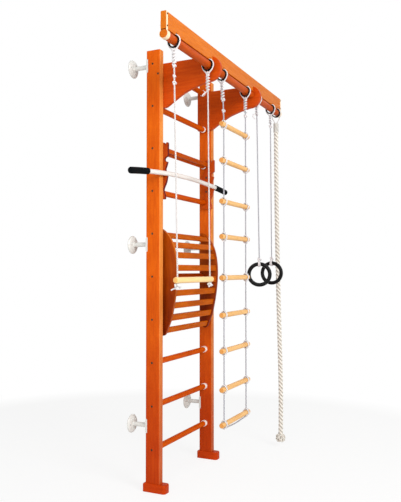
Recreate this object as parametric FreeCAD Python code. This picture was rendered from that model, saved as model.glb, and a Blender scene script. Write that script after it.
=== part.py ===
import FreeCAD, Part
import math
import os

# Wall bars for the home: two uprights on feet with ten rungs, six wall brackets, two arms that carry a
# long pull-up bar and its board, and what hangs or hooks on them. Millimetres, +X along the rungs, +Y
# into the wall, +Z up. The origin is on the wall, at the floor, midway between the uprights.

V = FreeCAD.Vector

# Frame
clear_width = 624.0
upright_width = 42.0
upright_depth = 84.0
upright_height = 2364.0
upright_edge_radius = 6.0
wall_gap = 98.0

# Rungs, their cups and their screws
rung_count = 10
top_rung_drop = 74.0
lowest_rung_height = 220.0
rung_diameter = 32.0
rung_setback = 38.0
cup_diameter = 37.0
cup_depth = 24.0
collar_depth = 10.0
cup_floor = 2.0
cup_edge_radius = 1.5
cup_fit = 0.15
rung_screw_diameter = 6.0
rung_screw_length = 78.0
rung_screw_head_diameter = 11.0
rung_screw_head_height = 4.0
rung_screw_counterbore_diameter = 13.0
rung_screw_counterbore_depth = 7.0
screw_socket_share = 0.45
screw_socket_depth_share = 0.6

# Feet
foot_height = 45.0
foot_floor = 5.0
foot_margin = 8.0
foot_heel = 12.0
foot_toe = 38.0
foot_toe_radius = 16.0
foot_heel_radius = 5.0
foot_top_rounding = 7.0
foot_fit = 0.2

# Wall brackets
bracket_count = 3
top_bracket_drop = 82.0
lowest_bracket_height = 344.0
flange_diameter = 98.0
flange_rim = 4.0
flange_dome = 14.0
flange_neck_radius = 15.0
stem_diameter = 24.0
bracket_plate_height = 72.0
bracket_plate_thickness = 12.0
bracket_plate_proud = 2.0
bracket_plate_corner = 5.0
bracket_recess_margin = 2.0
wall_hole_count = 3
wall_hole_circle = 70.0
wall_hole_diameter = 6.5
bracket_screw_diameter = 5.0
bracket_screw_length = 45.0
bracket_screw_head_diameter = 10.0
bracket_screw_spacing = 48.0

# Arms, pull-up bar and board
arm_rungs = (1, 2)
arm_thickness = 24.0
arm_top_rise = 7.0
arm_bottom_drop = 4.0
arm_nose_radius = 66.0
arm_nose_back = 7.0
arm_clearance = 0.5
arm_screw_diameter = 6.0
arm_screw_length = 56.0
arm_screw_head_diameter = 11.0
arm_screw_edge = 12.0
arm_screw_drop = 11.0
bar_diameter = 40.0
bar_reach = 277.0
bar_drop = 47.0
bar_overhang = 466.0
bar_fit = 0.3
bar_end_chamfer = 2.0
board_height = 81.0
board_thickness = 28.0
board_gap = 2.5
board_edge_radius = 3.0
board_fit = 0.3
hanger_slot_width = 16.0
hanger_slot_clearance = 2.5

# The underside of an arm, from the upright (0, 0) to the lowest point of the nose (1, 1)
arm_underside_shares = (
    (0.0, 0.0), (0.048, 0.018), (0.122, 0.12), (0.237, 0.30), (0.381, 0.51),
    (0.496, 0.655), (0.622, 0.765), (0.804, 0.90), (1.0, 1.0),
)

# Straps that hold the bar ends to the board
strap_width = 25.0
strap_leg_width = 12.0
strap_thickness = 2.0
strap_inset = 1.0
strap_fit = 0.2
strap_rear_leg_share = 0.45
strap_screw_diameter = 4.0
strap_screw_length = 18.0
strap_screw_head_diameter = 8.0
strap_screw_head_height = 2.0
strap_screw_margin = 13.0

# Rack: two wavy side plates and a rail, with two steps for the bent grip bar
rack_rungs = (3, 4)
rack_thickness = 18.0
rack_top_rise = 35.0
rack_bottom_drop = 42.0
rack_reach = 26.0
rack_rear_upper = 32.0
rack_rear_lower = 60.0
rack_step_count = 2
rack_step_pitch = 77.0
rack_slot_angle = 25.0
rack_slot_clearance = 0.8
rail_height = 24.0
rail_thickness = 18.0
rail_top_rise = 16.0
rack_screw_diameter = 5.0
rack_screw_length = 45.0
rack_screw_head_diameter = 10.0
rack_screw_head_height = 3.0
rack_screw_spacing_share = 0.29
rack_edge_radius = 1.5

# Front edge of a rack plate: forward share of its reach, height share between its bottom and its top
rack_front_shares = (
    (0.24, 0.0), (0.20, 0.09), (0.03, 0.135), (-0.05, 0.17), (0.12, 0.215), (0.45, 0.275), (0.66, 0.33),
    (0.79, 0.39), (0.80, 0.44), (0.38, 0.53), (0.55, 0.575), (0.80, 0.645), (0.88, 0.70), (0.95, 0.76),
    (0.96, 0.86), (0.97, 0.97),
)
rack_prong_shares = ((0.92, 1.0), (0.68, 1.0), (0.36, 0.945), (0.06, 1.0))

# Bent grip bar
grip_bar_diameter = 25.0
grip_bar_wall = 2.0
grip_left_gap = 201.0
grip_right_gap = 17.0
grip_bar_bend_radius = 5260.0
grip_bar_forward = 18.5
grip_bar_drop = 125.0
grip_length = 165.0
grip_diameter = 34.0
grip_cap = 4.0
grip_fit = 0.15
grip_end_radius = 9.0

# Hook-on curved back board
bow_rungs = (5, 6, 7)
bow_cheek_thickness = 18.0
bow_side_gap = 35.0
bow_rear_offset = 10.0
bow_depth = 118.0
bow_lobe_radius = 34.0
bow_bottom_drop = 92.0
bow_slot_clearance = 0.5
slat_count = 9
slat_width = 34.0
slat_thickness = 11.0
slat_inset = 7.0
slat_edge_radius = 3.0

# Front edge of a cheek: forward share of its depth, height share between its lowest and highest point
outline_step_share = 1e-6
bow_front_shares = (
    (0.10, 0.018), (0.30, 0.0), (0.40, 0.012), (0.47, 0.035), (0.54, 0.07), (0.68, 0.14), (0.785, 0.225),
    (0.865, 0.305), (0.93, 0.39), (0.98, 0.48), (1.0, 0.567), (0.992, 0.648), (0.95, 0.73), (0.87, 0.806),
    (0.75, 0.872), (0.60, 0.923), (0.42, 0.964), (0.25, 0.991),
)
slat_height_shares = (0.944, 0.852, 0.753, 0.631, 0.514, 0.393, 0.277, 0.160, 0.042)

# Hangers: grooved rings that ride on the pull-up bar
hanger_bore = 48.0
hanger_groove_floor = 3.5
hanger_flange = 6.5
hanger_width = 12.0
hanger_play = 0.3
rope_diameter = 8.0
rope_fit = 0.15
whipping_diameter = 20.0
whipping_start_share = 0.25
knot_diameter = 22.0
rope_hole_clearance = 0.3
wrap_spread_share = 0.85

# Swing
swing_hanger_left = -718.0
swing_hanger_right = -342.0
swing_centre = -497.0
swing_bar_length = 408.0
swing_bar_diameter = 28.0
swing_rope_spacing = 362.0
swing_bar_drop = 1115.0
swing_bar_end_radius = 5.0
swing_whipping_left = 75.0
swing_whipping_right = 105.0

# Rope ladder
ladder_hanger_left = -158.0
ladder_hanger_right = 194.0
ladder_centre = 32.0
ladder_rope_spacing = 326.0
ladder_rung_length = 400.0
ladder_rung_diameter = 28.0
ladder_rung_end_radius = 4.0
ladder_top_drop = 271.0
ladder_bottom_height = 340.0
ladder_under_drop = 22.0
ladder_corner_radius = 12.0
ladder_easy_radius = 650.0
ladder_lead_in = 26.0
ladder_whipping = 100.0
ladder_rung_shares = (0.0, 0.122, 0.259, 0.377, 0.514, 0.638, 0.757, 0.884, 1.0)

# Gymnastic rings
ring_hanger_left = 388.0
ring_hanger_right = 648.0
ring_left_place = 428.0
ring_right_place = 664.0
ring_left_drop = 1095.0
ring_right_drop = 1087.0
ring_left_turn = 20.0
ring_right_turn = 0.0
ring_diameter = 154.0
ring_section = 24.0
ring_knot_diameter = 20.0
ring_whipping = 72.0

# Climbing rope
climbing_rope_place = 764.0
climbing_rope_diameter = 32.0
climbing_rope_drop = 75.0
climbing_rope_bottom = 86.0
climbing_knot_diameter = 66.0
climbing_knot_height = 54.0
climbing_collar_diameter = 35.0
climbing_collar_height = 62.0
sling_diameter = 6.0
sling_foot_share = 0.8
sling_depth = 14.0
sling_neck = 6.0
sling_shoulder = 44.0
sling_bend = 14.0

# One overrun serves every cut
overrun = 5.0

# Places that follow from the sizes above
inner_x = clear_width / 2
outer_x = inner_x + upright_width
rear_y = -wall_gap
front_y = rear_y - upright_depth
rung_y = rear_y - rung_setback
rung_radius = rung_diameter / 2
top_rung_height = upright_height - top_rung_drop
rung_pitch = (top_rung_height - lowest_rung_height) / (rung_count - 1)
top_bracket_height = upright_height - top_bracket_drop
bracket_pitch = (top_bracket_height - lowest_bracket_height) / (bracket_count - 1)
bar_y = front_y - bar_reach
bar_z = top_rung_height - bar_drop
bar_radius = bar_diameter / 2
bar_end_x = outer_x + bar_overhang
board_bottom = bar_z + bar_radius + board_gap
board_top = board_bottom + board_height
arm_top = top_rung_height + arm_top_rise
arm_bottom = top_rung_height - rung_pitch - arm_bottom_drop
arm_nose_z = arm_top - arm_nose_radius
rung_clear_radius = rung_radius + arm_clearance
grip_bar_radius = grip_bar_diameter / 2
grip_bar_y = front_y - grip_bar_forward
hanger_bore_radius = hanger_bore / 2
hanger_z = bar_z - (hanger_bore_radius - bar_radius - hanger_play)
rope_radius = rope_diameter / 2
eye_radius = hanger_bore_radius + hanger_groove_floor + rope_fit + rope_radius
eye_bottom = hanger_z - eye_radius
swing_bar_height = bar_z - swing_bar_drop
ladder_top_height = bar_z - ladder_top_drop
ring_left_height = bar_z - ring_left_drop
ring_right_height = bar_z - ring_right_drop
climbing_rope_top = bar_z - climbing_rope_drop
grip_bar_left = -inner_x - grip_left_gap - grip_length
grip_bar_right = inner_x + grip_right_gap + grip_length
hanger_places = (
    swing_hanger_left, swing_hanger_right, ladder_hanger_left, ladder_hanger_right,
    ring_hanger_left, ring_hanger_right, climbing_rope_place,
)


def rung_height(number):
    """Height of a rung's axis; rung 1 is the top one."""
    return top_rung_height - (number - 1) * rung_pitch


# The bent bar lies below the upper rung that carries the rack
grip_bar_height = rung_height(rack_rungs[0]) - grip_bar_drop


def box(x0, x1, y0, y1, z0, z1):
    low = V(min(x0, x1), min(y0, y1), min(z0, z1))
    return Part.makeBox(abs(x1 - x0), abs(y1 - y0), abs(z1 - z0), low)


def rod(start, end, radius):
    """Round rod between two points."""
    line = end - start
    return Part.makeCylinder(radius, line.Length, start, line)


def rod_x(x0, x1, y, z, radius):
    return rod(V(x0, y, z), V(x1, y, z), radius)


def plate_x(edges, x0, x1):
    """Flat plate in a YZ outline, from x0 to x1."""
    face = Part.Face(Part.Wire(edges))
    face.translate(V(x0, 0, 0))
    return face.extrude(V(x1 - x0, 0, 0))


def point(y, z):
    return V(0, y, z)


def segment(a, b):
    return Part.LineSegment(a, b).toShape()


def chain(points):
    return [segment(a, b) for a, b in zip(points, points[1:])]


def curve(points):
    """Smooth edge through points."""
    spline = Part.BSplineCurve()
    spline.interpolate(points)
    return spline.toShape()


def arc(a, middle, b):
    return Part.Arc(a, middle, b).toShape()


def on_circle(centre, radius, degrees):
    """Point of a circle in the YZ plane; 0 degrees is +Y, 90 is up."""
    angle = math.radians(degrees)
    return centre + point(radius * math.cos(angle), radius * math.sin(angle))


def vertical_edges(shape):
    return [e for e in shape.Edges if runs_along(e, V(0, 0, 1))]


def runs_along(edge, direction):
    if edge.Curve.TypeId != "Part::GeomLine":
        return False
    return abs(edge.tangentAt(edge.FirstParameter).dot(direction)) > 1 - 1e-6


def edges_at(shape, axis, value):
    """Edges that lie whole in the plane where one coordinate has this value."""
    found = []
    for edge in shape.Edges:
        box_of_edge = edge.BoundBox
        low = (box_of_edge.XMin, box_of_edge.YMin, box_of_edge.ZMin)[axis]
        high = (box_of_edge.XMax, box_of_edge.YMax, box_of_edge.ZMax)[axis]
        if abs(low - value) < 1e-4 and abs(high - value) < 1e-4:
            found.append(edge)
    return found


def mirrored(shape):
    """The other side's copy, across the middle plane."""
    return shape.mirror(V(0, 0, 0), V(1, 0, 0))


def tube_along(edges, radius):
    """Round rope along straight runs and tangent arcs; prints each arc's radius and the volume check."""
    wire = Part.Wire(edges)
    first = edges[0]
    start = first.valueAt(first.FirstParameter)
    direction = first.tangentAt(first.FirstParameter)
    profile = Part.Wire([Part.Circle(start, direction, radius).toShape()])
    tube = wire.makePipeShell([profile], True, False)
    radii = [round(e.Curve.Radius, 1) for e in edges if e.Curve.TypeId == "Part::GeomCircle"]
    ideal = math.pi * radius * radius * wire.Length
    print("tube", round(wire.Length, 1), "mm, radii", radii, "volume ratio", round(tube.Volume / ideal, 4))
    return tube


def one_solid(shape):
    """The single solid of a fused or cut shape."""
    shape = shape.removeSplitter()
    if len(shape.Solids) != 1:
        raise ValueError("expected one solid")
    return shape.Solids[0]


def socket_screw(tip, direction, diameter, length, head_diameter, head_height):
    """Wood screw with a round head and a hexagon socket; tip is the far end of its shank."""
    back = V(direction)
    back.normalize()
    under_head = tip - back * length
    shank = rod(tip, under_head, diameter / 2)
    head = Part.makeCylinder(head_diameter / 2, head_height, under_head, back * -1)
    socket_radius = head_diameter * screw_socket_share / 2
    socket_depth = head_height * screw_socket_depth_share
    corners = [on_circle(V(0, 0, 0), socket_radius, 60 * k) for k in range(7)]
    socket = Part.Face(Part.makePolygon(corners)).extrude(V(-socket_depth - overrun, 0, 0))
    turn = FreeCAD.Rotation(V(1, 0, 0), back)
    socket.Placement = FreeCAD.Placement(under_head - back * (head_height - socket_depth), turn)
    return one_solid(shank.fuse(head).cut(socket))


def screw_hole(tip, direction, radius, length):
    """Cutter for a screw's shank."""
    back = V(direction)
    back.normalize()
    return Part.makeCylinder(radius, length + overrun, tip, back * -1)


def bracket_heights():
    return [top_bracket_height - k * bracket_pitch for k in range(bracket_count)]


def bracket_screw_places():
    half = bracket_screw_spacing / 2
    return [z + s * half for z in bracket_heights() for s in (-1, 1)]


def rung_screw_tip_x():
    return outer_x - rung_screw_counterbore_depth - rung_screw_length


def make_rung_screws():
    solids = []
    for number in range(1, rung_count + 1):
        tip = V(rung_screw_tip_x(), rung_y, rung_height(number))
        screw = socket_screw(tip, V(-1, 0, 0), rung_screw_diameter, rung_screw_length,
                             rung_screw_head_diameter, rung_screw_head_height)
        solids += [screw, mirrored(screw)]
    return solids


def make_upright():
    """Right upright, with its rung screw holes, bracket recesses and arm and rack screw holes."""
    post = box(inner_x, outer_x, front_y, rear_y, foot_floor, upright_height)
    post = post.makeFillet(upright_edge_radius, vertical_edges(post))
    post = post.makeFillet(upright_edge_radius / 2, edges_at(post, 2, upright_height))
    cutters = []
    for number in range(1, rung_count + 1):
        z = rung_height(number)
        cutters.append(rod_x(inner_x - overrun, outer_x + overrun, rung_y, z, rung_screw_diameter / 2))
        bore_start = outer_x - rung_screw_counterbore_depth
        cutters.append(rod_x(bore_start, outer_x + overrun, rung_y, z, rung_screw_counterbore_diameter / 2))
    recess = bracket_plate_thickness - bracket_plate_proud
    half = bracket_plate_height / 2 + bracket_recess_margin
    for z in bracket_heights():
        cutters.append(box(inner_x - overrun, outer_x + overrun, rear_y - recess, rear_y + overrun,
                           z - half, z + half))
    for z in bracket_screw_places():
        tip = V(inner_x + upright_width / 2, bracket_screw_tip_y(), z)
        cutters.append(screw_hole(tip, V(0, -1, 0), bracket_screw_diameter / 2, bracket_screw_length))
    for y, z in arm_screw_places():
        tip = V(arm_screw_tip_x(), y, z)
        cutters.append(screw_hole(tip, V(-1, 0, 0), arm_screw_diameter / 2, arm_screw_length))
        seat = arm_screw_tip_x() + arm_screw_length
        cutters.append(rod_x(seat, outer_x + overrun, y, z, arm_screw_head_diameter / 2 + arm_clearance))
    for y, z in rack_screw_places():
        tip = V(rack_screw_tip_x(), y, z)
        cutters.append(screw_hole(tip, V(1, 0, 0), rack_screw_diameter / 2, rack_screw_length))
    return one_solid(post.cut(cutters))


def collar_face(number):
    """Face that a rung's white collar or cup sits on: an arm's, a rack plate's or an upright's."""
    if number in arm_rungs:
        return inner_x - arm_thickness
    if number in rack_rungs:
        return inner_x - rack_thickness
    return inner_x


def rung_end(number):
    """A rung stops at its cup's floor, or at the upright where it has a collar."""
    if collar_face(number) < inner_x:
        return inner_x
    return inner_x - cup_floor


def make_rung(number):
    """Round rung with a screw hole in each end."""
    z = rung_height(number)
    end = rung_end(number)
    bar = rod_x(-end, end, rung_y, z, rung_radius)
    pilots = [rod_x(s * rung_screw_tip_x(), s * (end + overrun), rung_y, z, rung_screw_diameter / 2)
              for s in (-1, 1)]
    return one_solid(bar.cut(pilots))


def make_rung_cups():
    """Deep cups on the uprights and flat collars on the arms and rack plates; the lower rack rung has none."""
    solids = []
    for number in range(1, rung_count + 1):
        if number == rack_rungs[-1]:
            continue
        z = rung_height(number)
        face = collar_face(number)
        depth = cup_depth if face == inner_x else collar_depth
        cup = rod_x(face - depth, face, rung_y, z, cup_diameter / 2)
        cup = cup.makeFillet(cup_edge_radius, edges_at(cup, 0, face - depth))
        bore_end = face - cup_floor if face == inner_x else face + overrun
        bore = rod_x(face - depth - overrun, bore_end, rung_y, z, rung_radius + cup_fit)
        hole = rod_x(face - depth, face + overrun, rung_y, z, rung_screw_diameter / 2)
        cup = one_solid(cup.cut([bore, hole]))
        solids += [cup, mirrored(cup)]
    return solids


def make_foot():
    """Shoe that takes the lower end of the right upright."""
    x0, x1 = inner_x - foot_margin, outer_x + foot_margin
    y0, y1 = front_y - foot_toe, rear_y + foot_heel
    shoe = box(x0, x1, y0, y1, 0, foot_height)
    toe = [e for e in vertical_edges(shoe) if abs(e.BoundBox.YMin - y0) < 1e-4]
    shoe = shoe.makeFillet(foot_toe_radius, toe)
    heel = [e for e in vertical_edges(shoe) if abs(e.BoundBox.YMin - y1) < 1e-4]
    shoe = shoe.makeFillet(foot_heel_radius, heel)
    shoe = shoe.makeFillet(foot_top_rounding, edges_at(shoe, 2, foot_height))
    pocket = box(inner_x - foot_fit, outer_x + foot_fit, front_y - foot_fit, rear_y + foot_fit,
                 foot_floor, foot_height + overrun)
    pocket = pocket.makeFillet(upright_edge_radius, vertical_edges(pocket))
    return one_solid(shoe.cut(pocket))


def bracket_screw_tip_y():
    return rear_y + bracket_plate_proud - bracket_screw_length


def make_bracket(z):
    """Wall bracket of the right upright: domed flange, stem and the plate let into the upright."""
    x = inner_x + upright_width / 2
    plate_rear = rear_y + bracket_plate_proud
    plate_front = plate_rear - bracket_plate_thickness
    radius, stem = flange_diameter / 2, stem_diameter / 2
    rim_front = V(x + radius, -flange_rim, z)
    neck = V(x + flange_neck_radius, -flange_dome, z)
    bulge = (rim_front + neck) * 0.5 + V(flange_rim, -flange_rim, 0)
    edges = [
        segment(V(x, 0, z), V(x + radius, 0, z)),
        segment(V(x + radius, 0, z), rim_front),
        arc(rim_front, bulge, neck),
        segment(neck, V(x + stem, -flange_dome - flange_rim, z)),
        segment(V(x + stem, -flange_dome - flange_rim, z), V(x + stem, plate_rear, z)),
        segment(V(x + stem, plate_rear, z), V(x, plate_rear, z)),
        segment(V(x, plate_rear, z), V(x, 0, z)),
    ]
    body = Part.Face(Part.Wire(edges)).revolve(V(x, 0, z), V(0, 1, 0), 360)
    half = bracket_plate_height / 2
    plate = box(inner_x, outer_x, plate_front, plate_rear, z - half, z + half)
    ends = [e for e in plate.Edges if runs_along(e, V(1, 0, 0)) and abs(e.BoundBox.YMin - plate_rear) < 1e-4]
    plate = plate.makeFillet(bracket_plate_corner, ends)
    holes = []
    for k in range(wall_hole_count):
        angle = math.radians(180 + 360 * k / wall_hole_count)
        hole_x = x + wall_hole_circle / 2 * math.cos(angle)
        hole_z = z + wall_hole_circle / 2 * math.sin(angle)
        holes.append(rod(V(hole_x, overrun, hole_z), V(hole_x, -flange_dome - overrun, hole_z),
                         wall_hole_diameter / 2))
    for s in (-1, 1):
        tip = V(x, bracket_screw_tip_y(), z + s * bracket_screw_spacing / 2)
        holes.append(screw_hole(tip, V(0, -1, 0), bracket_screw_diameter / 2, bracket_screw_length))
    return one_solid(body.fuse(plate).cut(holes))


def make_bracket_screws():
    solids = []
    for z in bracket_screw_places():
        tip = V(inner_x + upright_width / 2, bracket_screw_tip_y(), z)
        screw = socket_screw(tip, V(0, -1, 0), bracket_screw_diameter, bracket_screw_length,
                             bracket_screw_head_diameter, bracket_screw_diameter / 2)
        solids += [screw, mirrored(screw)]
    return solids


def arm_screw_places():
    """One screw near the front edge of the upright, just below the bar's level."""
    return [(front_y + arm_screw_edge, bar_z - arm_screw_drop)]


def arm_screw_tip_x():
    return outer_x - rung_screw_counterbore_depth / 2 - arm_screw_length


def make_arm():
    """Right arm: a console with a round nose, notched over the two top rungs, holed for the bar."""
    nose = point(bar_y + arm_nose_back, arm_nose_z)
    low = nose - point(0, arm_nose_radius)
    underside = []
    for forward, up in arm_underside_shares:
        underside.append(point(front_y + (low.y - front_y) * forward, arm_bottom + (low.z - arm_bottom) * up))
    edges = [
        segment(point(rear_y, arm_top), point(nose.y, arm_top)),
        arc(point(nose.y, arm_top), on_circle(nose, arm_nose_radius, 180), low),
        curve(underside[::-1]),
        segment(underside[0], point(rear_y, arm_bottom)),
        segment(point(rear_y, arm_bottom), point(rear_y, arm_top)),
    ]
    arm = plate_x(edges, inner_x - arm_thickness, inner_x)
    x0, x1 = inner_x - arm_thickness - overrun, inner_x + overrun
    upper, lower = [rung_height(n) for n in arm_rungs]
    half = board_thickness / 2 + board_fit
    cutters = [
        rod_x(x0, x1, rung_y, upper, rung_clear_radius),
        box(x0, x1, rung_y - rung_clear_radius, rung_y + rung_clear_radius, upper, arm_top + overrun),
        rod_x(x0, x1, rung_y, lower, rung_clear_radius),
        rod_x(x0, x1, bar_y, bar_z, bar_radius + bar_fit),
        box(x0, x1, bar_y - half, bar_y + half, board_bottom - board_fit, arm_top + overrun),
    ]
    for y, z in arm_screw_places():
        tip = V(arm_screw_tip_x(), y, z)
        cutters.append(screw_hole(tip, V(-1, 0, 0), arm_screw_diameter / 2, arm_screw_length))
    return one_solid(arm.cut(cutters))


def make_arm_screws():
    solids = []
    for y, z in arm_screw_places():
        tip = V(arm_screw_tip_x(), y, z)
        head = rung_screw_counterbore_depth / 2
        screw = socket_screw(tip, V(-1, 0, 0), arm_screw_diameter, arm_screw_length,
                             arm_screw_head_diameter, head)
        solids += [screw, mirrored(screw)]
    return solids


def make_pull_up_bar():
    bar = rod_x(-bar_end_x, bar_end_x, bar_y, bar_z, bar_radius)
    ends = edges_at(bar, 0, bar_end_x) + edges_at(bar, 0, -bar_end_x)
    return bar.makeChamfer(bar_end_chamfer, ends).Solids[0]


def strap_screw_tips(side):
    """Tips of a strap's screws, and the way each points: two in front, one behind."""
    x = side * (bar_end_x - strap_inset - strap_leg_width / 2)
    face = board_thickness / 2 + strap_fit + strap_thickness
    front = bar_y - face + strap_screw_length
    rear = bar_y + face - strap_screw_length
    rear_z = board_bottom + board_height * strap_rear_leg_share / 2
    return [
        (V(x, front, board_top - strap_screw_margin), V(0, 1, 0)),
        (V(x, front, board_bottom + strap_screw_margin), V(0, 1, 0)),
        (V(x, rear, rear_z), V(0, -1, 0)),
    ]


def make_board():
    """Board on edge above the bar, with a slot over each hanger and the strap screws' holes."""
    half = board_thickness / 2
    board = box(-bar_end_x, bar_end_x, bar_y - half, bar_y + half, board_bottom, board_top)
    long_edges = [e for e in board.Edges if runs_along(e, V(1, 0, 0))]
    board = board.makeFillet(board_edge_radius, long_edges)
    reach = hanger_bore_radius + hanger_groove_floor + rope_diameter + hanger_slot_clearance
    ceiling = hanger_z + reach
    cutters = []
    for x in hanger_places:
        w = hanger_slot_width / 2
        cutters.append(box(x - w, x + w, bar_y - half - overrun, bar_y + half + overrun,
                           board_bottom - overrun, ceiling))
    for side in (-1, 1):
        for tip, direction in strap_screw_tips(side):
            cutters.append(screw_hole(tip, direction, strap_screw_diameter / 2, strap_screw_length))
    return one_solid(board.cut(cutters))


def strap_section(grow, top):
    """Board and bar section together, grown by a clearance or a metal thickness."""
    half = board_thickness / 2 + grow
    x1 = bar_end_x - strap_inset
    legs = box(x1 - strap_leg_width, x1, bar_y - half, bar_y + half, bar_z, top)
    return legs.fuse(rod_x(x1 - strap_width, x1, bar_y, bar_z, bar_radius + grow))


def make_strap():
    """Right strap: a band round the bar with two narrow legs, one down the board's face, one behind."""
    top = board_top - strap_thickness
    outer = strap_section(strap_fit + strap_thickness, top)
    inner = strap_section(strap_fit, top + overrun)
    strap = outer.cut(inner)
    rear_top = board_bottom + board_height * strap_rear_leg_share
    x0, x1 = bar_end_x - strap_width - 2 * overrun, bar_end_x + overrun
    behind = box(x0, x1, bar_y, bar_y + board_thickness, rear_top, board_top + overrun)
    cutters = [behind]
    for tip, direction in strap_screw_tips(1):
        cutters.append(screw_hole(tip, direction, strap_screw_diameter / 2, strap_screw_length))
    return one_solid(strap.cut(cutters))


def make_strap_screws():
    solids = []
    for side in (-1, 1):
        for tip, direction in strap_screw_tips(side):
            solids.append(socket_screw(tip, direction, strap_screw_diameter, strap_screw_length,
                                       strap_screw_head_diameter, strap_screw_head_height))
    return solids


def rack_limits():
    return rung_height(rack_rungs[-1]) - rack_bottom_drop, rung_height(rack_rungs[0]) + rack_top_rise


def rack_screw_places():
    low, high = rack_limits()
    middle = (low + high) / 2
    half = (high - low) * rack_screw_spacing_share / 2
    y = front_y + rack_reach
    return [(y, middle + s * half) for s in (-1, 1)]


def rack_screw_tip_x():
    return inner_x - rack_thickness + rack_screw_length


def rack_step_height():
    """Height of the step that the grip bar lies in, where the bent bar crosses the rack plates."""
    x = inner_x - rack_thickness / 2
    drop = grip_bar_bend_radius - math.sqrt(grip_bar_bend_radius ** 2 - x ** 2)
    return grip_bar_height - drop


def make_rack_plate():
    """Right rack plate: wavy front with steps for the grip bar, notched round two rungs."""
    low, high = rack_limits()

    def place(shares):
        forward, up = shares
        return point(front_y - rack_reach * forward, low + (high - low) * up)

    front = [place(s) for s in rack_front_shares]
    prongs = [place(s) for s in rack_prong_shares]
    upper_rear = point(rear_y - upright_depth + rack_rear_upper, high)
    shoulder = point(upper_rear.y, rung_height(rack_rungs[0]) - rung_clear_radius)
    lower_rear = front_y + rack_rear_lower
    knee = point(lower_rear, shoulder.z - (lower_rear - shoulder.y) * 2)
    edges = [curve(front)]
    edges += chain([front[-1]] + prongs + [upper_rear, shoulder, knee, point(lower_rear, low), front[0]])
    plate = plate_x(edges, inner_x - rack_thickness, inner_x)
    x0, x1 = inner_x - rack_thickness - overrun, inner_x + overrun
    cutters = [rod_x(x0, x1, rung_y, rung_height(n), rung_clear_radius) for n in rack_rungs]
    slot_radius = grip_bar_radius + rack_slot_clearance
    for k in range(rack_step_count):
        z = rack_step_height() + k * rack_step_pitch
        cutters.append(rod_x(x0, x1, grip_bar_y, z, slot_radius))
        slot = box(x0, x1, grip_bar_y, grip_bar_y - 2 * rack_reach, z - slot_radius, z + slot_radius)
        slot.rotate(V(0, grip_bar_y, z), V(1, 0, 0), -rack_slot_angle)
        cutters.append(slot)
    for y, z in rack_screw_places():
        tip = V(rack_screw_tip_x(), y, z)
        cutters.append(screw_hole(tip, V(1, 0, 0), rack_screw_diameter / 2, rack_screw_length))
    return one_solid(plate.cut(cutters))


def make_rack_rail():
    """Rail between the rack plates, just in front of their upper rung and its collars."""
    x = inner_x - rack_thickness
    rear = rung_y - cup_diameter / 2 - arm_clearance
    top = rung_height(rack_rungs[0]) + rail_top_rise
    rail = box(-x, x, rear - rail_thickness, rear, top - rail_height, top)
    return rail.makeFillet(rack_edge_radius, [e for e in rail.Edges if runs_along(e, V(1, 0, 0))])


def make_rack_screws():
    solids = []
    for y, z in rack_screw_places():
        tip = V(rack_screw_tip_x(), y, z)
        screw = socket_screw(tip, V(1, 0, 0), rack_screw_diameter, rack_screw_length,
                             rack_screw_head_diameter, rack_screw_head_height)
        solids += [screw, mirrored(screw)]
    return solids


def bent_point(x):
    """Point of the grip bar's bent axis."""
    centre_z = grip_bar_height - grip_bar_bend_radius
    return V(x, grip_bar_y, centre_z + math.sqrt(grip_bar_bend_radius ** 2 - x ** 2))


def bent_rod(x0, x1, radius):
    path = arc(bent_point(x0), bent_point((x0 + x1) / 2), bent_point(x1))
    direction = path.tangentAt(path.FirstParameter)
    profile = Part.Wire([Part.Circle(bent_point(x0), direction, radius).toShape()])
    return Part.Wire([path]).makePipeShell([profile], True, False)


def make_grip_bar():
    outside = bent_rod(grip_bar_left, grip_bar_right, grip_bar_radius)
    inside = bent_rod(grip_bar_left - overrun, grip_bar_right + overrun, grip_bar_radius - grip_bar_wall)
    return one_solid(outside.cut(inside))


def make_grip(side):
    """Soft grip over one end of the bent bar, closed at its outer end."""
    tube_end = grip_bar_right if side > 0 else grip_bar_left
    start = tube_end - side * grip_length
    end = tube_end + side * grip_cap
    x0, x1 = min(start, end), max(start, end)
    grip = bent_rod(x0, x1, grip_diameter / 2)
    outer_edge = [e for e in grip.Edges if abs(e.CenterOfMass.x - end) < grip_end_radius
                  and e.Curve.TypeId == "Part::GeomCircle"]
    grip = grip.makeFillet(grip_end_radius, outer_edge)
    bore_start = start - side * overrun
    bore = bent_rod(min(bore_start, tube_end), max(bore_start, tube_end), grip_bar_radius + grip_fit)
    return one_solid(grip.cut(bore))


def bow_limits():
    return rung_height(bow_rungs[-1]) - bow_bottom_drop, rung_height(bow_rungs[0]) + bow_lobe_radius


def bow_outline():
    """Points of the cheeks' front edge, from the lower tip to the top."""
    low, high = bow_limits()
    rear = rung_y + bow_rear_offset
    return [point(rear - bow_depth * forward, low + (high - low) * up) for forward, up in bow_front_shares]


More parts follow.
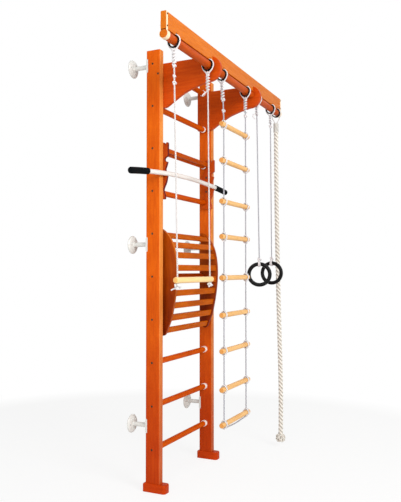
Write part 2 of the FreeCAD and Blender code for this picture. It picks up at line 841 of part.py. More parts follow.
def make_bow_cheek():
    """Right cheek: hooked over its top rung, bulging forward, notched at the two below."""
    low, high = bow_limits()
    rear = rung_y + bow_rear_offset
    front = bow_outline()
    lobe = point(rung_y, rung_height(bow_rungs[0]))
    rear_top = point(rear, lobe.z + math.sqrt(bow_lobe_radius ** 2 - bow_rear_offset ** 2))
    crown = point(lobe.y, high)
    edges = [
        curve(front[1:] + [crown]),
        arc(crown, on_circle(lobe, bow_lobe_radius, 80), rear_top),
        segment(rear_top, point(rear, front[2].z)),
        segment(point(rear, front[2].z), front[0]),
        segment(front[0], front[1]),
    ]
    x1 = inner_x - bow_side_gap
    x0 = x1 - bow_cheek_thickness
    cheek = plate_x(edges, x0, x1)
    slot_radius = rung_radius + bow_slot_clearance
    reach = 2 * bow_lobe_radius
    cutters = []
    for number in bow_rungs:
        z = rung_height(number)
        cutters.append(rod_x(x0 - overrun, x1 + overrun, rung_y, z, slot_radius))
        slot = box(x0 - overrun, x1 + overrun, rung_y, rung_y + reach, z - slot_radius, z + slot_radius)
        slot.rotate(V(0, rung_y, z), V(1, 0, 0), -45)
        cutters.append(slot)
    return one_solid(cheek.cut(cutters))


def edge_at_height(edge, z):
    """Point of a rising outline curve at a height, and its lean from the vertical in degrees."""
    first, last = edge.FirstParameter, edge.LastParameter
    while last - first > outline_step_share * (edge.LastParameter - edge.FirstParameter):
        middle = (first + last) / 2
        if edge.value(middle).z < z:
            first = middle
        else:
            last = middle
    along = edge.tangent(first)[0]
    return edge.value(first), -math.degrees(math.atan2(along.y, along.z))


def make_bow_slats():
    """Slats between the cheeks, set just behind their front edge and leaning with it."""
    x = inner_x - bow_side_gap - bow_cheek_thickness
    low, high = bow_limits()
    edge = Part.BSplineCurve()
    edge.interpolate(bow_outline()[1:])
    solids = []
    for share in slat_height_shares:
        z = low + (high - low) * share
        spot, lean = edge_at_height(edge, z)
        slat = box(-x, x, slat_inset, slat_inset + slat_thickness, -slat_width / 2, slat_width / 2)
        slat = slat.makeFillet(slat_edge_radius, [e for e in slat.Edges if runs_along(e, V(1, 0, 0))])
        slat.rotate(V(0, 0, 0), V(1, 0, 0), lean)
        slat.translate(spot)
        solids.append(slat.Solids[0])
    return solids


def make_hanger(x):
    """Ring that rides on the bar, grooved for the rope's eye."""
    bore, floor = hanger_bore_radius, hanger_bore_radius + hanger_groove_floor
    flange = hanger_bore_radius + hanger_flange
    w = hanger_width / 2
    lip = (w - rope_radius) / 2
    corners = [
        (-w, bore), (w, bore), (w, flange - lip), (w - lip, flange), (rope_radius + rope_fit, flange),
        (rope_radius / 2, floor), (-rope_radius / 2, floor), (-rope_radius - rope_fit, flange),
        (-w + lip, flange), (-w, flange - lip), (-w, bore),
    ]
    outline = Part.makePolygon([V(x + a, bar_y, hanger_z + r) for a, r in corners])
    return Part.Face(outline).revolve(V(x, bar_y, hanger_z), V(1, 0, 0), 360).Solids[0]


def eye(x, radius):
    """Rope's eye in a hanger's groove."""
    groove = hanger_bore_radius + hanger_groove_floor + rope_fit + radius
    return Part.makeTorus(groove, radius, V(x, bar_y, hanger_z), V(1, 0, 0))


def whipping(start, end, length):
    """Whipped stretch below the eye, along the rope."""
    along = end - start
    along.normalize()
    top = start + along * (rope_radius * whipping_start_share)
    return rod(top, start + along * length, whipping_diameter / 2)


def below_eye(start, end, length):
    """Start of a rope's straight run, half-way down its whipping."""
    along = end - start
    along.normalize()
    return start + along * (length / 2)


def swing_rope_end(side):
    return V(swing_centre + side * swing_rope_spacing / 2, bar_y, swing_bar_height)


def make_swing_rope(side, hanger_x, whipping_length):
    """Eye, whipping, straight rope through the swing bar, and the knot under it."""
    start = V(hanger_x, bar_y, eye_bottom)
    end = swing_rope_end(side)
    along = end - start
    along.normalize()
    reach = swing_bar_diameter / 2 + rope_hole_clearance
    knot = end + along * (reach + knot_diameter / 2)
    rope = rod(below_eye(start, end, whipping_length), knot, rope_radius)
    parts = [eye(hanger_x, rope_radius), whipping(start, end, whipping_length),
             Part.makeSphere(knot_diameter / 2, knot)]
    return one_solid(rope.fuse(parts))


def make_swing_bar():
    half = swing_bar_length / 2
    x0, x1 = swing_centre - half, swing_centre + half
    bar = rod_x(x0, x1, bar_y, swing_bar_height, swing_bar_diameter / 2)
    bar = bar.makeFillet(swing_bar_end_radius, edges_at(bar, 0, x0) + edges_at(bar, 0, x1))
    cutters = []
    for side, x in ((-1, swing_hanger_left), (1, swing_hanger_right)):
        end = swing_rope_end(side)
        along = end - V(x, bar_y, eye_bottom)
        along.normalize()
        reach = swing_bar_diameter
        cutters.append(rod(end - along * reach, end + along * reach, rope_radius + rope_hole_clearance))
    return one_solid(bar.cut(cutters))


def ladder_heights():
    span = ladder_top_height - ladder_bottom_height
    return [ladder_top_height - span * share for share in ladder_rung_shares]


def ladder_rope_x(side):
    return ladder_centre + side * ladder_rope_spacing / 2


def make_ladder_rungs():
    solids = []
    half = ladder_rung_length / 2
    x0, x1 = ladder_centre - half, ladder_centre + half
    for z in ladder_heights():
        rung = rod_x(x0, x1, bar_y, z, ladder_rung_diameter / 2)
        rung = rung.makeFillet(ladder_rung_end_radius, edges_at(rung, 0, x0) + edges_at(rung, 0, x1))
        holes = [rod(V(ladder_rope_x(s), bar_y, z - ladder_rung_diameter),
                     V(ladder_rope_x(s), bar_y, z + ladder_rung_diameter),
                     rope_radius + rope_hole_clearance) for s in (-1, 1)]
        solids.append(one_solid(rung.cut(holes)))
    return solids


def rounded_run(points, radii):
    """Edges of straight runs joined by tangent arcs, one radius for each inner point."""
    edges = []
    start = points[0]
    for before, corner, after, radius in zip(points, points[1:], points[2:], radii):
        back = before - corner
        ahead = after - corner
        back.normalize()
        ahead.normalize()
        half_turn = (math.pi - back.getAngle(ahead)) / 2
        setback = radius * math.tan(half_turn)
        a = corner + back * setback
        b = corner + ahead * setback
        bisector = back + ahead
        bisector.normalize()
        middle = corner + bisector * (radius / math.cos(half_turn) - radius)
        edges += [segment(start, a), arc(a, middle, b)]
        start = b
    edges.append(segment(start, points[-1]))
    return edges


def make_ladder_rope():
    """One rope down the left side, under the lowest rung and up the right side, wrapped on each rung."""
    left, right = ladder_rope_x(-1), ladder_rope_x(1)
    lead = ladder_top_height + ladder_rung_diameter + ladder_lead_in
    under = ladder_bottom_height - ladder_under_drop
    starts = [V(ladder_hanger_left, bar_y, eye_bottom), V(ladder_hanger_right, bar_y, eye_bottom)]
    leads = [V(left, bar_y, lead), V(right, bar_y, lead)]
    points = [
        below_eye(starts[0], leads[0], ladder_whipping), leads[0], V(left, bar_y, under),
        V(right, bar_y, under), leads[1], below_eye(starts[1], leads[1], ladder_whipping),
    ]
    radii = [ladder_easy_radius, ladder_corner_radius, ladder_corner_radius, ladder_easy_radius]
    rope = tube_along(rounded_run(points, radii), rope_radius)
    wrap_radius = ladder_rung_diameter / 2 + rope_fit + rope_radius
    parts = [eye(ladder_hanger_left, rope_radius), eye(ladder_hanger_right, rope_radius)]
    for start, end in zip(starts, leads):
        parts.append(whipping(start, end, ladder_whipping))
    for z in ladder_heights():
        for x in (left, right):
            for s in (-1, 1):
                place = V(x + s * rope_radius * wrap_spread_share, bar_y, z)
                parts.append(Part.makeTorus(wrap_radius, rope_radius, place, V(1, 0, 0)))
    return one_solid(rope.fuse(parts))


def make_gym_ring(x, height, turn):
    """Ring that hangs across the bar, turned about the vertical by some degrees."""
    radius = ring_diameter / 2 - ring_section / 2
    ring = Part.makeTorus(radius, ring_section / 2, V(x, bar_y, height), V(1, 0, 0))
    ring.rotate(V(x, bar_y, height), V(0, 0, 1), turn)
    return ring


def ring_wrap(x, height, knot):
    """Knot and the two turns of rope round the top of a ring."""
    centre = V(x, bar_y, height)
    ring_radius = ring_diameter / 2 - ring_section / 2
    tilt = math.degrees(rope_radius * wrap_spread_share / ring_radius)
    loops = []
    for s in (-1, 1):
        loop = Part.makeTorus(ring_section / 2 + rope_fit + rope_radius, rope_radius,
                              centre + V(0, 0, ring_radius), V(0, 1, 0))
        loop.rotate(centre, V(1, 0, 0), s * tilt)
        loops.append(loop)
    clear = Part.makeTorus(ring_radius, ring_section / 2 + rope_fit, centre, V(1, 0, 0))
    return Part.makeSphere(ring_knot_diameter / 2, knot).fuse(loops).cut(clear)


def make_ring_rope(hanger_x, ring_x, ring_height, turn):
    """Eye, whipping, straight rope, knot and the turns round the ring."""
    start = V(hanger_x, bar_y, eye_bottom)
    ring_top = ring_height + ring_diameter / 2
    knot = V(ring_x, bar_y, ring_top + rope_fit + rope_diameter + ring_knot_diameter / 4)
    wrap = ring_wrap(ring_x, ring_height, knot)
    wrap.rotate(knot, V(0, 0, 1), turn)
    rope = rod(below_eye(start, knot, ring_whipping), knot, rope_radius)
    return one_solid(rope.fuse([eye(hanger_x, rope_radius), whipping(start, knot, ring_whipping), wrap]))


def sling_foot(side):
    """Lower end of one side of the sling, inside the climbing rope's top."""
    offset = climbing_rope_diameter / 2 * sling_foot_share - sling_diameter
    return V(climbing_rope_place, bar_y + side * offset, climbing_rope_top - sling_depth)


def make_climbing_rope():
    """Thick rope with a whipped top and a knot at its lower end."""
    x = climbing_rope_place
    knot_centre = climbing_rope_bottom - climbing_knot_height / 2
    rope = rod(V(x, bar_y, climbing_rope_top), V(x, bar_y, knot_centre), climbing_rope_diameter / 2)
    collar_bottom = climbing_rope_top - climbing_collar_height
    collar = rod(V(x, bar_y, collar_bottom), V(x, bar_y, climbing_rope_top), climbing_collar_diameter / 2)
    knot = Part.makeSphere(climbing_knot_diameter / 2, V(x, bar_y, knot_centre))
    half = climbing_knot_height / 2
    wide = climbing_knot_diameter
    layer = box(x - wide, x + wide, bar_y - wide, bar_y + wide, knot_centre - half, knot_centre + half)
    rope = rope.fuse([collar, knot.common(layer)])
    holes = [rod(sling_foot(s) - V(0, 0, rope_fit), sling_foot(s) + V(0, 0, sling_depth + overrun),
                 sling_diameter / 2 + rope_fit) for s in (-1, 1)]
    return one_solid(rope.cut(holes))


def make_sling():
    """Thin sling from the hanger down to the top of the climbing rope."""
    x = climbing_rope_place
    radius = sling_diameter / 2
    groove = hanger_bore_radius + hanger_groove_floor + rope_fit + radius
    sides = []
    for s in (-1, 1):
        foot = sling_foot(s)
        neck = V(x, foot.y, climbing_rope_top + sling_neck)
        shoulder = V(x, bar_y + s * groove, climbing_rope_top + sling_shoulder)
        sides.append([foot, neck, shoulder, V(x, bar_y + s * groove, hanger_z)])
    top = arc(sides[0][3], V(x, bar_y, hanger_z + groove), sides[1][3])
    left = rounded_run(sides[0], [sling_bend, sling_bend])
    right = rounded_run(sides[1][::-1], [sling_bend, sling_bend])
    return one_solid(tube_along(left + [top] + right, radius))


def both_sides(nodes, name, shape):
    nodes["right_" + name] = shape
    nodes["left_" + name] = mirrored(shape)


def all_nodes():
    nodes = {}
    both_sides(nodes, "upright", make_upright())
    for number in range(1, rung_count + 1):
        nodes["rung_%02d" % number] = make_rung(number)
    nodes["rung_cups"] = make_rung_cups()
    nodes["rung_screws"] = make_rung_screws()
    both_sides(nodes, "foot", make_foot())
    for z, name in zip(bracket_heights(), ("upper", "middle", "lower")):
        bracket = make_bracket(z)
        nodes["right_" + name + "_wall_bracket"] = bracket
        nodes["left_" + name + "_wall_bracket"] = bracket.translated(V(-inner_x - outer_x, 0, 0))
    nodes["bracket_screws"] = make_bracket_screws()
    both_sides(nodes, "arm", make_arm())
    nodes["arm_screws"] = make_arm_screws()
    nodes["pull_up_bar"] = make_pull_up_bar()
    nodes["top_board"] = make_board()
    both_sides(nodes, "strap", make_strap())
    nodes["strap_screws"] = make_strap_screws()
    both_sides(nodes, "rack_plate", make_rack_plate())
    nodes["rack_rail"] = make_rack_rail()
    nodes["rack_screws"] = make_rack_screws()
    nodes["grip_bar"] = make_grip_bar()
    nodes["left_grip"] = make_grip(-1)
    nodes["right_grip"] = make_grip(1)
    both_sides(nodes, "bow_cheek", make_bow_cheek())
    nodes["bow_slats"] = make_bow_slats()
    nodes["swing_hanger_left"] = make_hanger(swing_hanger_left)
    nodes["swing_hanger_right"] = make_hanger(swing_hanger_right)
    nodes["swing_rope_left"] = make_swing_rope(-1, swing_hanger_left, swing_whipping_left)
    nodes["swing_rope_right"] = make_swing_rope(1, swing_hanger_right, swing_whipping_right)
    nodes["swing_bar"] = make_swing_bar()
    nodes["ladder_hanger_left"] = make_hanger(ladder_hanger_left)
    nodes["ladder_hanger_right"] = make_hanger(ladder_hanger_right)
    nodes["ladder_rope"] = make_ladder_rope()
    nodes["ladder_rungs"] = make_ladder_rungs()
    nodes["ring_hanger_left"] = make_hanger(ring_hanger_left)
    nodes["ring_hanger_right"] = make_hanger(ring_hanger_right)
    left_ring = (ring_left_place, ring_left_height, ring_left_turn)
    right_ring = (ring_right_place, ring_right_height, ring_right_turn)
    nodes["ring_rope_left"] = make_ring_rope(ring_hanger_left, *left_ring)
    nodes["ring_rope_right"] = make_ring_rope(ring_hanger_right, *right_ring)
    nodes["gym_ring_left"] = make_gym_ring(*left_ring)
    nodes["gym_ring_right"] = make_gym_ring(*right_ring)
    nodes["climbing_rope_hanger"] = make_hanger(climbing_rope_place)
    nodes["climbing_rope_sling"] = make_sling()
    nodes["climbing_rope"] = make_climbing_rope()
    return nodes


def main():
    os.makedirs("parts", exist_ok=True)
    for name, shape in all_nodes().items():
        if isinstance(shape, list):
            shape = Part.makeCompound(shape)
        if not shape.isValid():
            print("invalid", name)
        shape.exportStep("parts/" + name + ".step")


main()
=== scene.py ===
import math

import bpy
from mathutils import Matrix, Vector


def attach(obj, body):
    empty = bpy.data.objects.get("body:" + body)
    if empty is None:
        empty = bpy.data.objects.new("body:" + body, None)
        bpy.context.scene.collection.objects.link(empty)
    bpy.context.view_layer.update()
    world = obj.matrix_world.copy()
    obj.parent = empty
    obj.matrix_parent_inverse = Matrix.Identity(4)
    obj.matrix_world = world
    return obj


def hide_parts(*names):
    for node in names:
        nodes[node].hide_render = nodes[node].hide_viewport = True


# Wall bars dressed for their picture: stained beech, enamelled brackets, laid ropes and turned rungs.
# Metres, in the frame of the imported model: the wall is at Y 0, the room is towards -Y, the floor at Z 0.

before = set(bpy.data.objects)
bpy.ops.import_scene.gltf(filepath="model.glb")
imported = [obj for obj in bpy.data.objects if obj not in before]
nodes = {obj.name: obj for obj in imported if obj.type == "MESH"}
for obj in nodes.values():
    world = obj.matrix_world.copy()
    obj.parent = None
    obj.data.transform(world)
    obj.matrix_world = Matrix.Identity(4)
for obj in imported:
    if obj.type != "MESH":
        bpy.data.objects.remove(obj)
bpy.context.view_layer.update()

# The overhead bar, the centres of the hangers on it, the heights at which each thin rope starts and has
# its second point, and the diameter of the thin ropes
bar_y = -0.459
hanger_z = 2.2393
top_z = 2.2077
second_z = 2.1597
rope = 0.008

ALONG_X = (0.0, math.radians(90), 0.0)
ALONG_Y = (math.radians(90), 0.0, 0.0)
ALONG_Z = (0.0, 0.0, 0.0)


# ---------------------------------------------------------------- colours
def channel(value):
    share = value / 255.0
    if share <= 0.04045:
        return share / 12.92
    return ((share + 0.055) / 1.055) ** 2.4


def paint(red, green, blue):
    """A colour as it is seen on a screen, given in steps of 255, for a shader."""
    return (channel(red), channel(green), channel(blue), 1.0)


# ---------------------------------------------------------------- node groups
# Noise scales across the grain, and the share of each that is left along it
SWAY_SCALE, SWAY_PUSH = 11.0, 0.035
BAND_SCALE, BAND_LENGTHWISE = 95.0, 0.10
STREAK_SCALE, STREAK_LENGTHWISE, STREAK_WEIGHT = 620.0, 0.022, 0.22
PORE_SCALE, PORE_LENGTHWISE, PORE_SHADE = 1500.0, 0.06, (0.35, 0.30, 0.28, 1.0)
BLOTCH_SCALE = 5.5
# Noise values between which each of them sets in
BAND_SPAN, STREAK_SPAN, PORE_SPAN, BLOTCH_SPAN = (0.36, 0.66), (0.40, 0.62), (0.60, 0.70), (0.35, 0.65)
PORE_DEPTH = 2.0
WOOD_ROUGH_LOW, WOOD_ROUGH_HIGH = 0.34, 0.46

CLOUD_SCALE = 14.0
CLOUD_SPAN, GRAIN_SPAN = (0.35, 0.70), (0.35, 0.65)
GRAIN_SHARE = 0.35
CLOUD_ROUGH = 0.12

FUZZ_STRETCH = (14.0, 900.0, 1.0)
# Weight of the painted shade in the valleys between yarns, the fuzz, and the spans of U over which the
# painted shade where strands meet goes from full to none
VALLEY_SHADE_WEIGHT = 0.55
FUZZ_SPAN, FUZZ_WEIGHT, FUZZ_RISE = (0.35, 0.65), 0.4, 0.35
GROOVE_SHADE_FULL, GROOVE_SHADE_NONE = 0.25, 0.42


def new_group(name, inputs, outputs):
    """Empty node group with named sockets."""
    group = bpy.data.node_groups.new(name, "ShaderNodeTree")
    for label, kind, value in inputs:
        socket = group.interface.new_socket(name=label, in_out="INPUT", socket_type=kind)
        if value is not None:
            socket.default_value = value
    for label, kind in outputs:
        group.interface.new_socket(name=label, in_out="OUTPUT", socket_type=kind)
    entry = group.nodes.new("NodeGroupInput")
    leave = group.nodes.new("NodeGroupOutput")
    return group, entry, leave


def node(tree, kind, links=(), **settings):
    """A node with its settings; links are (socket of the new node, what feeds it)."""
    made = tree.nodes.new(kind)
    for key, value in settings.items():
        setattr(made, key, value)
    for socket, source in links:
        if isinstance(source, bpy.types.NodeSocket):
            tree.links.new(source, made.inputs[socket])
        else:
            made.inputs[socket].default_value = source
    return made


def blended(tree, factor, first, second, mode="MIX"):
    """Colour mix of two sources."""
    mix = tree.nodes.new("ShaderNodeMix")
    mix.data_type = "RGBA"
    mix.blend_type = mode
    for socket, source in ((0, factor), (6, first), (7, second)):
        if isinstance(source, bpy.types.NodeSocket):
            tree.links.new(source, mix.inputs[socket])
        else:
            mix.inputs[socket].default_value = source
    return mix.outputs[2]


def ranged(tree, source, low, high, out_low=0.0, out_high=1.0):
    made = node(tree, "ShaderNodeMapRange", [("Value", source), ("From Min", low), ("From Max", high),
                                             ("To Min", out_low), ("To Max", out_high)])
    return made.outputs["Result"]


def combined(tree, operation, first, second):
    return node(tree, "ShaderNodeMath", [(0, first), (1, second)], operation=operation).outputs[0]


def wood_group():
    """Straight beech grain that runs along Z of its vector: bands, streaks, pores and blotches."""
    group, entry, leave = new_group(
        "wood_grain",
        [("Vector", "NodeSocketVector", None), ("Light", "NodeSocketColor", paint(230, 110, 45)),
         ("Dark", "NodeSocketColor", paint(180, 60, 20)), ("Bands", "NodeSocketFloat", 0.5),
         ("Pores", "NodeSocketFloat", 0.4), ("Blotches", "NodeSocketFloat", 0.3)],
        [("Color", "NodeSocketColor"), ("Roughness", "NodeSocketFloat"), ("Height", "NodeSocketFloat")])
    place = entry.outputs["Vector"]
    slow = node(group, "ShaderNodeVectorMath", [(0, place), (1, (1.0, 1.0, BAND_LENGTHWISE))],
                operation="MULTIPLY")
    sway = node(group, "ShaderNodeTexNoise", [("Vector", slow.outputs[0]), ("Scale", SWAY_SCALE),
                                              ("Detail", 2.0)])
    push = node(group, "ShaderNodeVectorMath",
                [(0, sway.outputs["Color"]), (1, (SWAY_PUSH, SWAY_PUSH, 0.0))], operation="MULTIPLY")
    bent = node(group, "ShaderNodeVectorMath", [(0, slow.outputs[0]), (1, push.outputs[0])], operation="ADD")
    bands = node(group, "ShaderNodeTexNoise", [("Vector", bent.outputs[0]), ("Scale", BAND_SCALE),
                                               ("Detail", 3.0), ("Roughness", 0.55)])
    long_way = node(group, "ShaderNodeVectorMath", [(0, place), (1, (1.0, 1.0, STREAK_LENGTHWISE))],
                    operation="MULTIPLY")
    streaks = node(group, "ShaderNodeTexNoise", [("Vector", long_way.outputs[0]), ("Scale", STREAK_SCALE),
                                                 ("Detail", 2.0)])
    pore_way = node(group, "ShaderNodeVectorMath", [(0, place), (1, (1.0, 1.0, PORE_LENGTHWISE))],
                    operation="MULTIPLY")
    pores = node(group, "ShaderNodeTexNoise", [("Vector", pore_way.outputs[0]), ("Scale", PORE_SCALE),
                                               ("Detail", 1.0)])
    blotches = node(group, "ShaderNodeTexNoise", [("Vector", place), ("Scale", BLOTCH_SCALE),
                                                  ("Detail", 2.0)])
    band_share = ranged(group, bands.outputs["Fac"], *BAND_SPAN)
    streak_share = ranged(group, streaks.outputs["Fac"], *STREAK_SPAN)
    pore_share = ranged(group, pores.outputs["Fac"], *PORE_SPAN)
    blotch_share = ranged(group, blotches.outputs["Fac"], *BLOTCH_SPAN)
    weight = combined(group, "MULTIPLY", band_share, entry.outputs["Bands"])
    first = blended(group, weight, entry.outputs["Light"], entry.outputs["Dark"])
    fine = combined(group, "MULTIPLY", streak_share, STREAK_WEIGHT)
    second = blended(group, fine, first, entry.outputs["Dark"])
    pore_weight = combined(group, "MULTIPLY", pore_share, entry.outputs["Pores"])
    dark_pore = blended(group, 1.0, entry.outputs["Dark"], PORE_SHADE, "MULTIPLY")
    third = blended(group, pore_weight, second, dark_pore)
    blotch_weight = combined(group, "MULTIPLY", blotch_share, entry.outputs["Blotches"])
    fourth = blended(group, blotch_weight, third, entry.outputs["Dark"])
    group.links.new(fourth, leave.inputs["Color"])
    rough = ranged(group, bands.outputs["Fac"], 0.3, 0.7, WOOD_ROUGH_LOW, WOOD_ROUGH_HIGH)
    group.links.new(rough, leave.inputs["Roughness"])
    relief = combined(group, "SUBTRACT", streak_share, combined(group, "MULTIPLY", pore_share, PORE_DEPTH))
    group.links.new(relief, leave.inputs["Height"])
    return group


def speckle_group():
    """Slight cloudiness, fine relief and settled dust for enamel, plastic, rubber and metal."""
    group, entry, leave = new_group(
        "speckle",
        [("Vector", "NodeSocketVector", None), ("Base", "NodeSocketColor", paint(235, 235, 230)),
         ("Tint", "NodeSocketColor", paint(215, 212, 205)), ("Size", "NodeSocketFloat", 300.0),
         ("Amount", "NodeSocketFloat", 0.3), ("Rough", "NodeSocketFloat", 0.3)],
        [("Color", "NodeSocketColor"), ("Roughness", "NodeSocketFloat"), ("Height", "NodeSocketFloat")])
    place = entry.outputs["Vector"]
    clouds = node(group, "ShaderNodeTexNoise", [("Vector", place), ("Scale", CLOUD_SCALE), ("Detail", 3.0)])
    grains = node(group, "ShaderNodeTexNoise", [("Vector", place), ("Scale", entry.outputs["Size"]),
                                                ("Detail", 2.0)])
    cloud_share = ranged(group, clouds.outputs["Fac"], *CLOUD_SPAN)
    grain_share = ranged(group, grains.outputs["Fac"], *GRAIN_SPAN)
    weight = combined(group, "MULTIPLY", cloud_share, entry.outputs["Amount"])
    first = blended(group, weight, entry.outputs["Base"], entry.outputs["Tint"])
    grain_amount = combined(group, "MULTIPLY", entry.outputs["Amount"], GRAIN_SHARE)
    grain_weight = combined(group, "MULTIPLY", grain_share, grain_amount)
    second = blended(group, grain_weight, first, entry.outputs["Tint"])
    group.links.new(second, leave.inputs["Color"])
    spread = combined(group, "MULTIPLY", cloud_share, CLOUD_ROUGH)
    group.links.new(combined(group, "ADD", entry.outputs["Rough"], spread), leave.inputs["Roughness"])
    group.links.new(grain_share, leave.inputs["Height"])
    return group


def yarn_group():
    """Yarns of a laid rope: U runs once round a strand from its outside, V along it in metres. Painted shade
    darkens the valleys between the yarns and each strand's inner side, where the strands meet.
    """
    group, entry, leave = new_group(
        "yarns",
        [("Vector", "NodeSocketVector", None), ("Light", "NodeSocketColor", paint(250, 248, 240)),
         ("Dark", "NodeSocketColor", paint(190, 180, 165)), ("Count", "NodeSocketFloat", 9.0),
         ("Slant", "NodeSocketFloat", 60.0), ("Fuzz", "NodeSocketFloat", 0.5),
         ("Deep", "NodeSocketColor", paint(70, 68, 80)), ("Groove Shade", "NodeSocketFloat", 0.8)],
        [("Color", "NodeSocketColor"), ("Height", "NodeSocketFloat")])
    parts = node(group, "ShaderNodeSeparateXYZ", [(0, entry.outputs["Vector"])])
    turn = combined(group, "MULTIPLY", parts.outputs["X"], entry.outputs["Count"])
    climb = combined(group, "MULTIPLY", parts.outputs["Y"], entry.outputs["Slant"])
    phase = combined(group, "ADD", turn, climb)
    angle = combined(group, "MULTIPLY", phase, math.tau)
    wave = node(group, "ShaderNodeMath", [(0, angle)], operation="SINE")
    valley = ranged(group, wave.outputs[0], -1.0, 0.2, 1.0, 0.0)
    stretched = node(group, "ShaderNodeVectorMath", [(0, entry.outputs["Vector"]), (1, FUZZ_STRETCH)],
                     operation="MULTIPLY")
    fuzz = node(group, "ShaderNodeTexNoise", [("Vector", stretched.outputs[0]), ("Scale", 1.0),
                                              ("Detail", 3.0)])
    fuzz_share = ranged(group, fuzz.outputs["Fac"], *FUZZ_SPAN)
    # Painted shade in the valleys between yarns
    shade = combined(group, "MULTIPLY", valley, VALLEY_SHADE_WEIGHT)
    first = blended(group, shade, entry.outputs["Light"], entry.outputs["Dark"])
    fuzz_amount = combined(group, "MULTIPLY", fuzz_share, entry.outputs["Fuzz"])
    fuzz_weight = combined(group, "MULTIPLY", fuzz_amount, FUZZ_WEIGHT)
    second = blended(group, fuzz_weight, first, entry.outputs["Dark"])
    # Painted shade where the strands meet, full on each strand's inner side
    past_inside = combined(group, "SUBTRACT", parts.outputs["X"], 0.5)
    from_inside = node(group, "ShaderNodeMath", [(0, past_inside)], operation="ABSOLUTE")
    groove_shade = ranged(group, from_inside.outputs[0], GROOVE_SHADE_FULL, GROOVE_SHADE_NONE, 1.0, 0.0)
    third = blended(group, combined(group, "MULTIPLY", groove_shade, entry.outputs["Groove Shade"]), second,
                    entry.outputs["Deep"])
    group.links.new(third, leave.inputs["Color"])
    rise = combined(group, "SUBTRACT", combined(group, "MULTIPLY", fuzz_share, FUZZ_RISE), valley)
    group.links.new(rise, leave.inputs["Height"])
    return group


wood_grain = wood_group()
speckle = speckle_group()
yarns = yarn_group()


# ---------------------------------------------------------------- materials
WOOD_RELIEF, WOOD_BUMP = 0.0002, 0.35
FACING_NONE, FACING_FULL = 0.55, 0.80
COAT_ROUGH = 0.12
FIBRE_ROUGH, FIBRE_SHEEN, FIBRE_SHEEN_ROUGH, FIBRE_BUMP = 0.82, 0.25, 0.5, 0.6


def new_material(name):
    material = bpy.data.materials.new(name)
    material.use_nodes = True
    shader = material.node_tree.nodes["Principled BSDF"]
    return material, material.node_tree, shader


def placed_group(tree, group, values):
    made = tree.nodes.new("ShaderNodeGroup")
    made.node_tree = group
    for label, value in values.items():
        if isinstance(value, bpy.types.NodeSocket):
            tree.links.new(value, made.inputs[label])
        else:
            made.inputs[label].default_value = value
    return made


def bumped(tree, shader, height, distance, strength):
    bump = node(tree, "ShaderNodeBump", [("Height", height), ("Distance", distance), ("Strength", strength)])
    tree.links.new(bump.outputs["Normal"], shader.inputs["Normal"])


def wood(name, light, dark, turn, bands=0.5, pores=0.35, blotches=0.3, shine=0.07, foot=None, tone=None):
    """Stained or bare wood. Foot is a painted shade that its lower end falls to, tone a colour for faces on
    an axis: painted light, or the end grain's own darker colour.
    """
    material, tree, shader = new_material(name)
    where = node(tree, "ShaderNodeTexCoord")
    mapping = node(tree, "ShaderNodeMapping", [("Vector", where.outputs["Object"]), ("Rotation", turn)])
    grain = placed_group(tree, wood_grain, {"Vector": mapping.outputs[0], "Light": light, "Dark": dark,
                                            "Bands": bands, "Pores": pores, "Blotches": blotches})
    colour = grain.outputs["Color"]
    # Painted light on faces along one axis, or the end grain's own darker colour
    if tone is not None:
        axis, shade = tone
        facing = node(tree, "ShaderNodeSeparateXYZ", [(0, where.outputs["Normal"])])
        along = node(tree, "ShaderNodeMath", [(0, facing.outputs[axis])], operation="ABSOLUTE")
        share = ranged(tree, along.outputs[0], FACING_NONE, FACING_FULL)
        colour = blended(tree, share, colour, blended(tree, 1.0, colour, shade, "MULTIPLY"))
    # Painted shade: the colour darkens towards the lower end of the piece
    if foot is not None:
        low, high, shade = foot
        parts = node(tree, "ShaderNodeSeparateXYZ", [(0, where.outputs["Object"])])
        fall = ranged(tree, parts.outputs["Z"], low, high, 1.0, 0.0)
        colour = blended(tree, fall, colour, shade, "MULTIPLY")
    tree.links.new(colour, shader.inputs["Base Color"])
    tree.links.new(grain.outputs["Roughness"], shader.inputs["Roughness"])
    shader.inputs["Specular IOR Level"].default_value = shine
    bumped(tree, shader, grain.outputs["Height"], WOOD_RELIEF, WOOD_BUMP)
    return material


def coated(name, base, tint, rough, size, amount, relief, metal=0.0, coat=0.0, strength=0.3, shine=0.4):
    """Enamel, plastic, rubber or metal with slight clouding and relief."""
    material, tree, shader = new_material(name)
    where = node(tree, "ShaderNodeTexCoord")
    grains = placed_group(tree, speckle, {"Vector": where.outputs["Object"], "Base": base, "Tint": tint,
                                          "Size": size, "Amount": amount, "Rough": rough})
    tree.links.new(grains.outputs["Color"], shader.inputs["Base Color"])
    tree.links.new(grains.outputs["Roughness"], shader.inputs["Roughness"])
    shader.inputs["Metallic"].default_value = metal
    shader.inputs["Specular IOR Level"].default_value = shine
    shader.inputs["Coat Weight"].default_value = coat
    shader.inputs["Coat Roughness"].default_value = COAT_ROUGH
    bumped(tree, shader, grains.outputs["Height"], relief, strength)
    return material


def rope_fibre(name, light, dark, strand_shade_colour, count=5.0, slant=260.0, fuzz=0.5, relief=0.0004, groove_shade=0.8):
    """Fibre of a laid rope, on the UV map of its strands, with a darker colour painted as shade where the
    strands meet and between the yarns.
    """
    material, tree, shader = new_material(name)
    where = node(tree, "ShaderNodeUVMap", uv_map="strand")
    lay = placed_group(tree, yarns, {"Vector": where.outputs["UV"], "Light": light, "Dark": dark,
                                     "Count": count, "Slant": slant, "Fuzz": fuzz, "Deep": strand_shade_colour,
                                     "Groove Shade": groove_shade})
    tree.links.new(lay.outputs["Color"], shader.inputs["Base Color"])
    shader.inputs["Roughness"].default_value = FIBRE_ROUGH
    shader.inputs["Sheen Weight"].default_value = FIBRE_SHEEN
    shader.inputs["Sheen Roughness"].default_value = FIBRE_SHEEN_ROUGH
    bumped(tree, shader, lay.outputs["Height"], relief, FIBRE_BUMP)
    return material


ORANGE_LIGHT = paint(226, 102, 14)
ORANGE_DARK = paint(192, 70, 4)
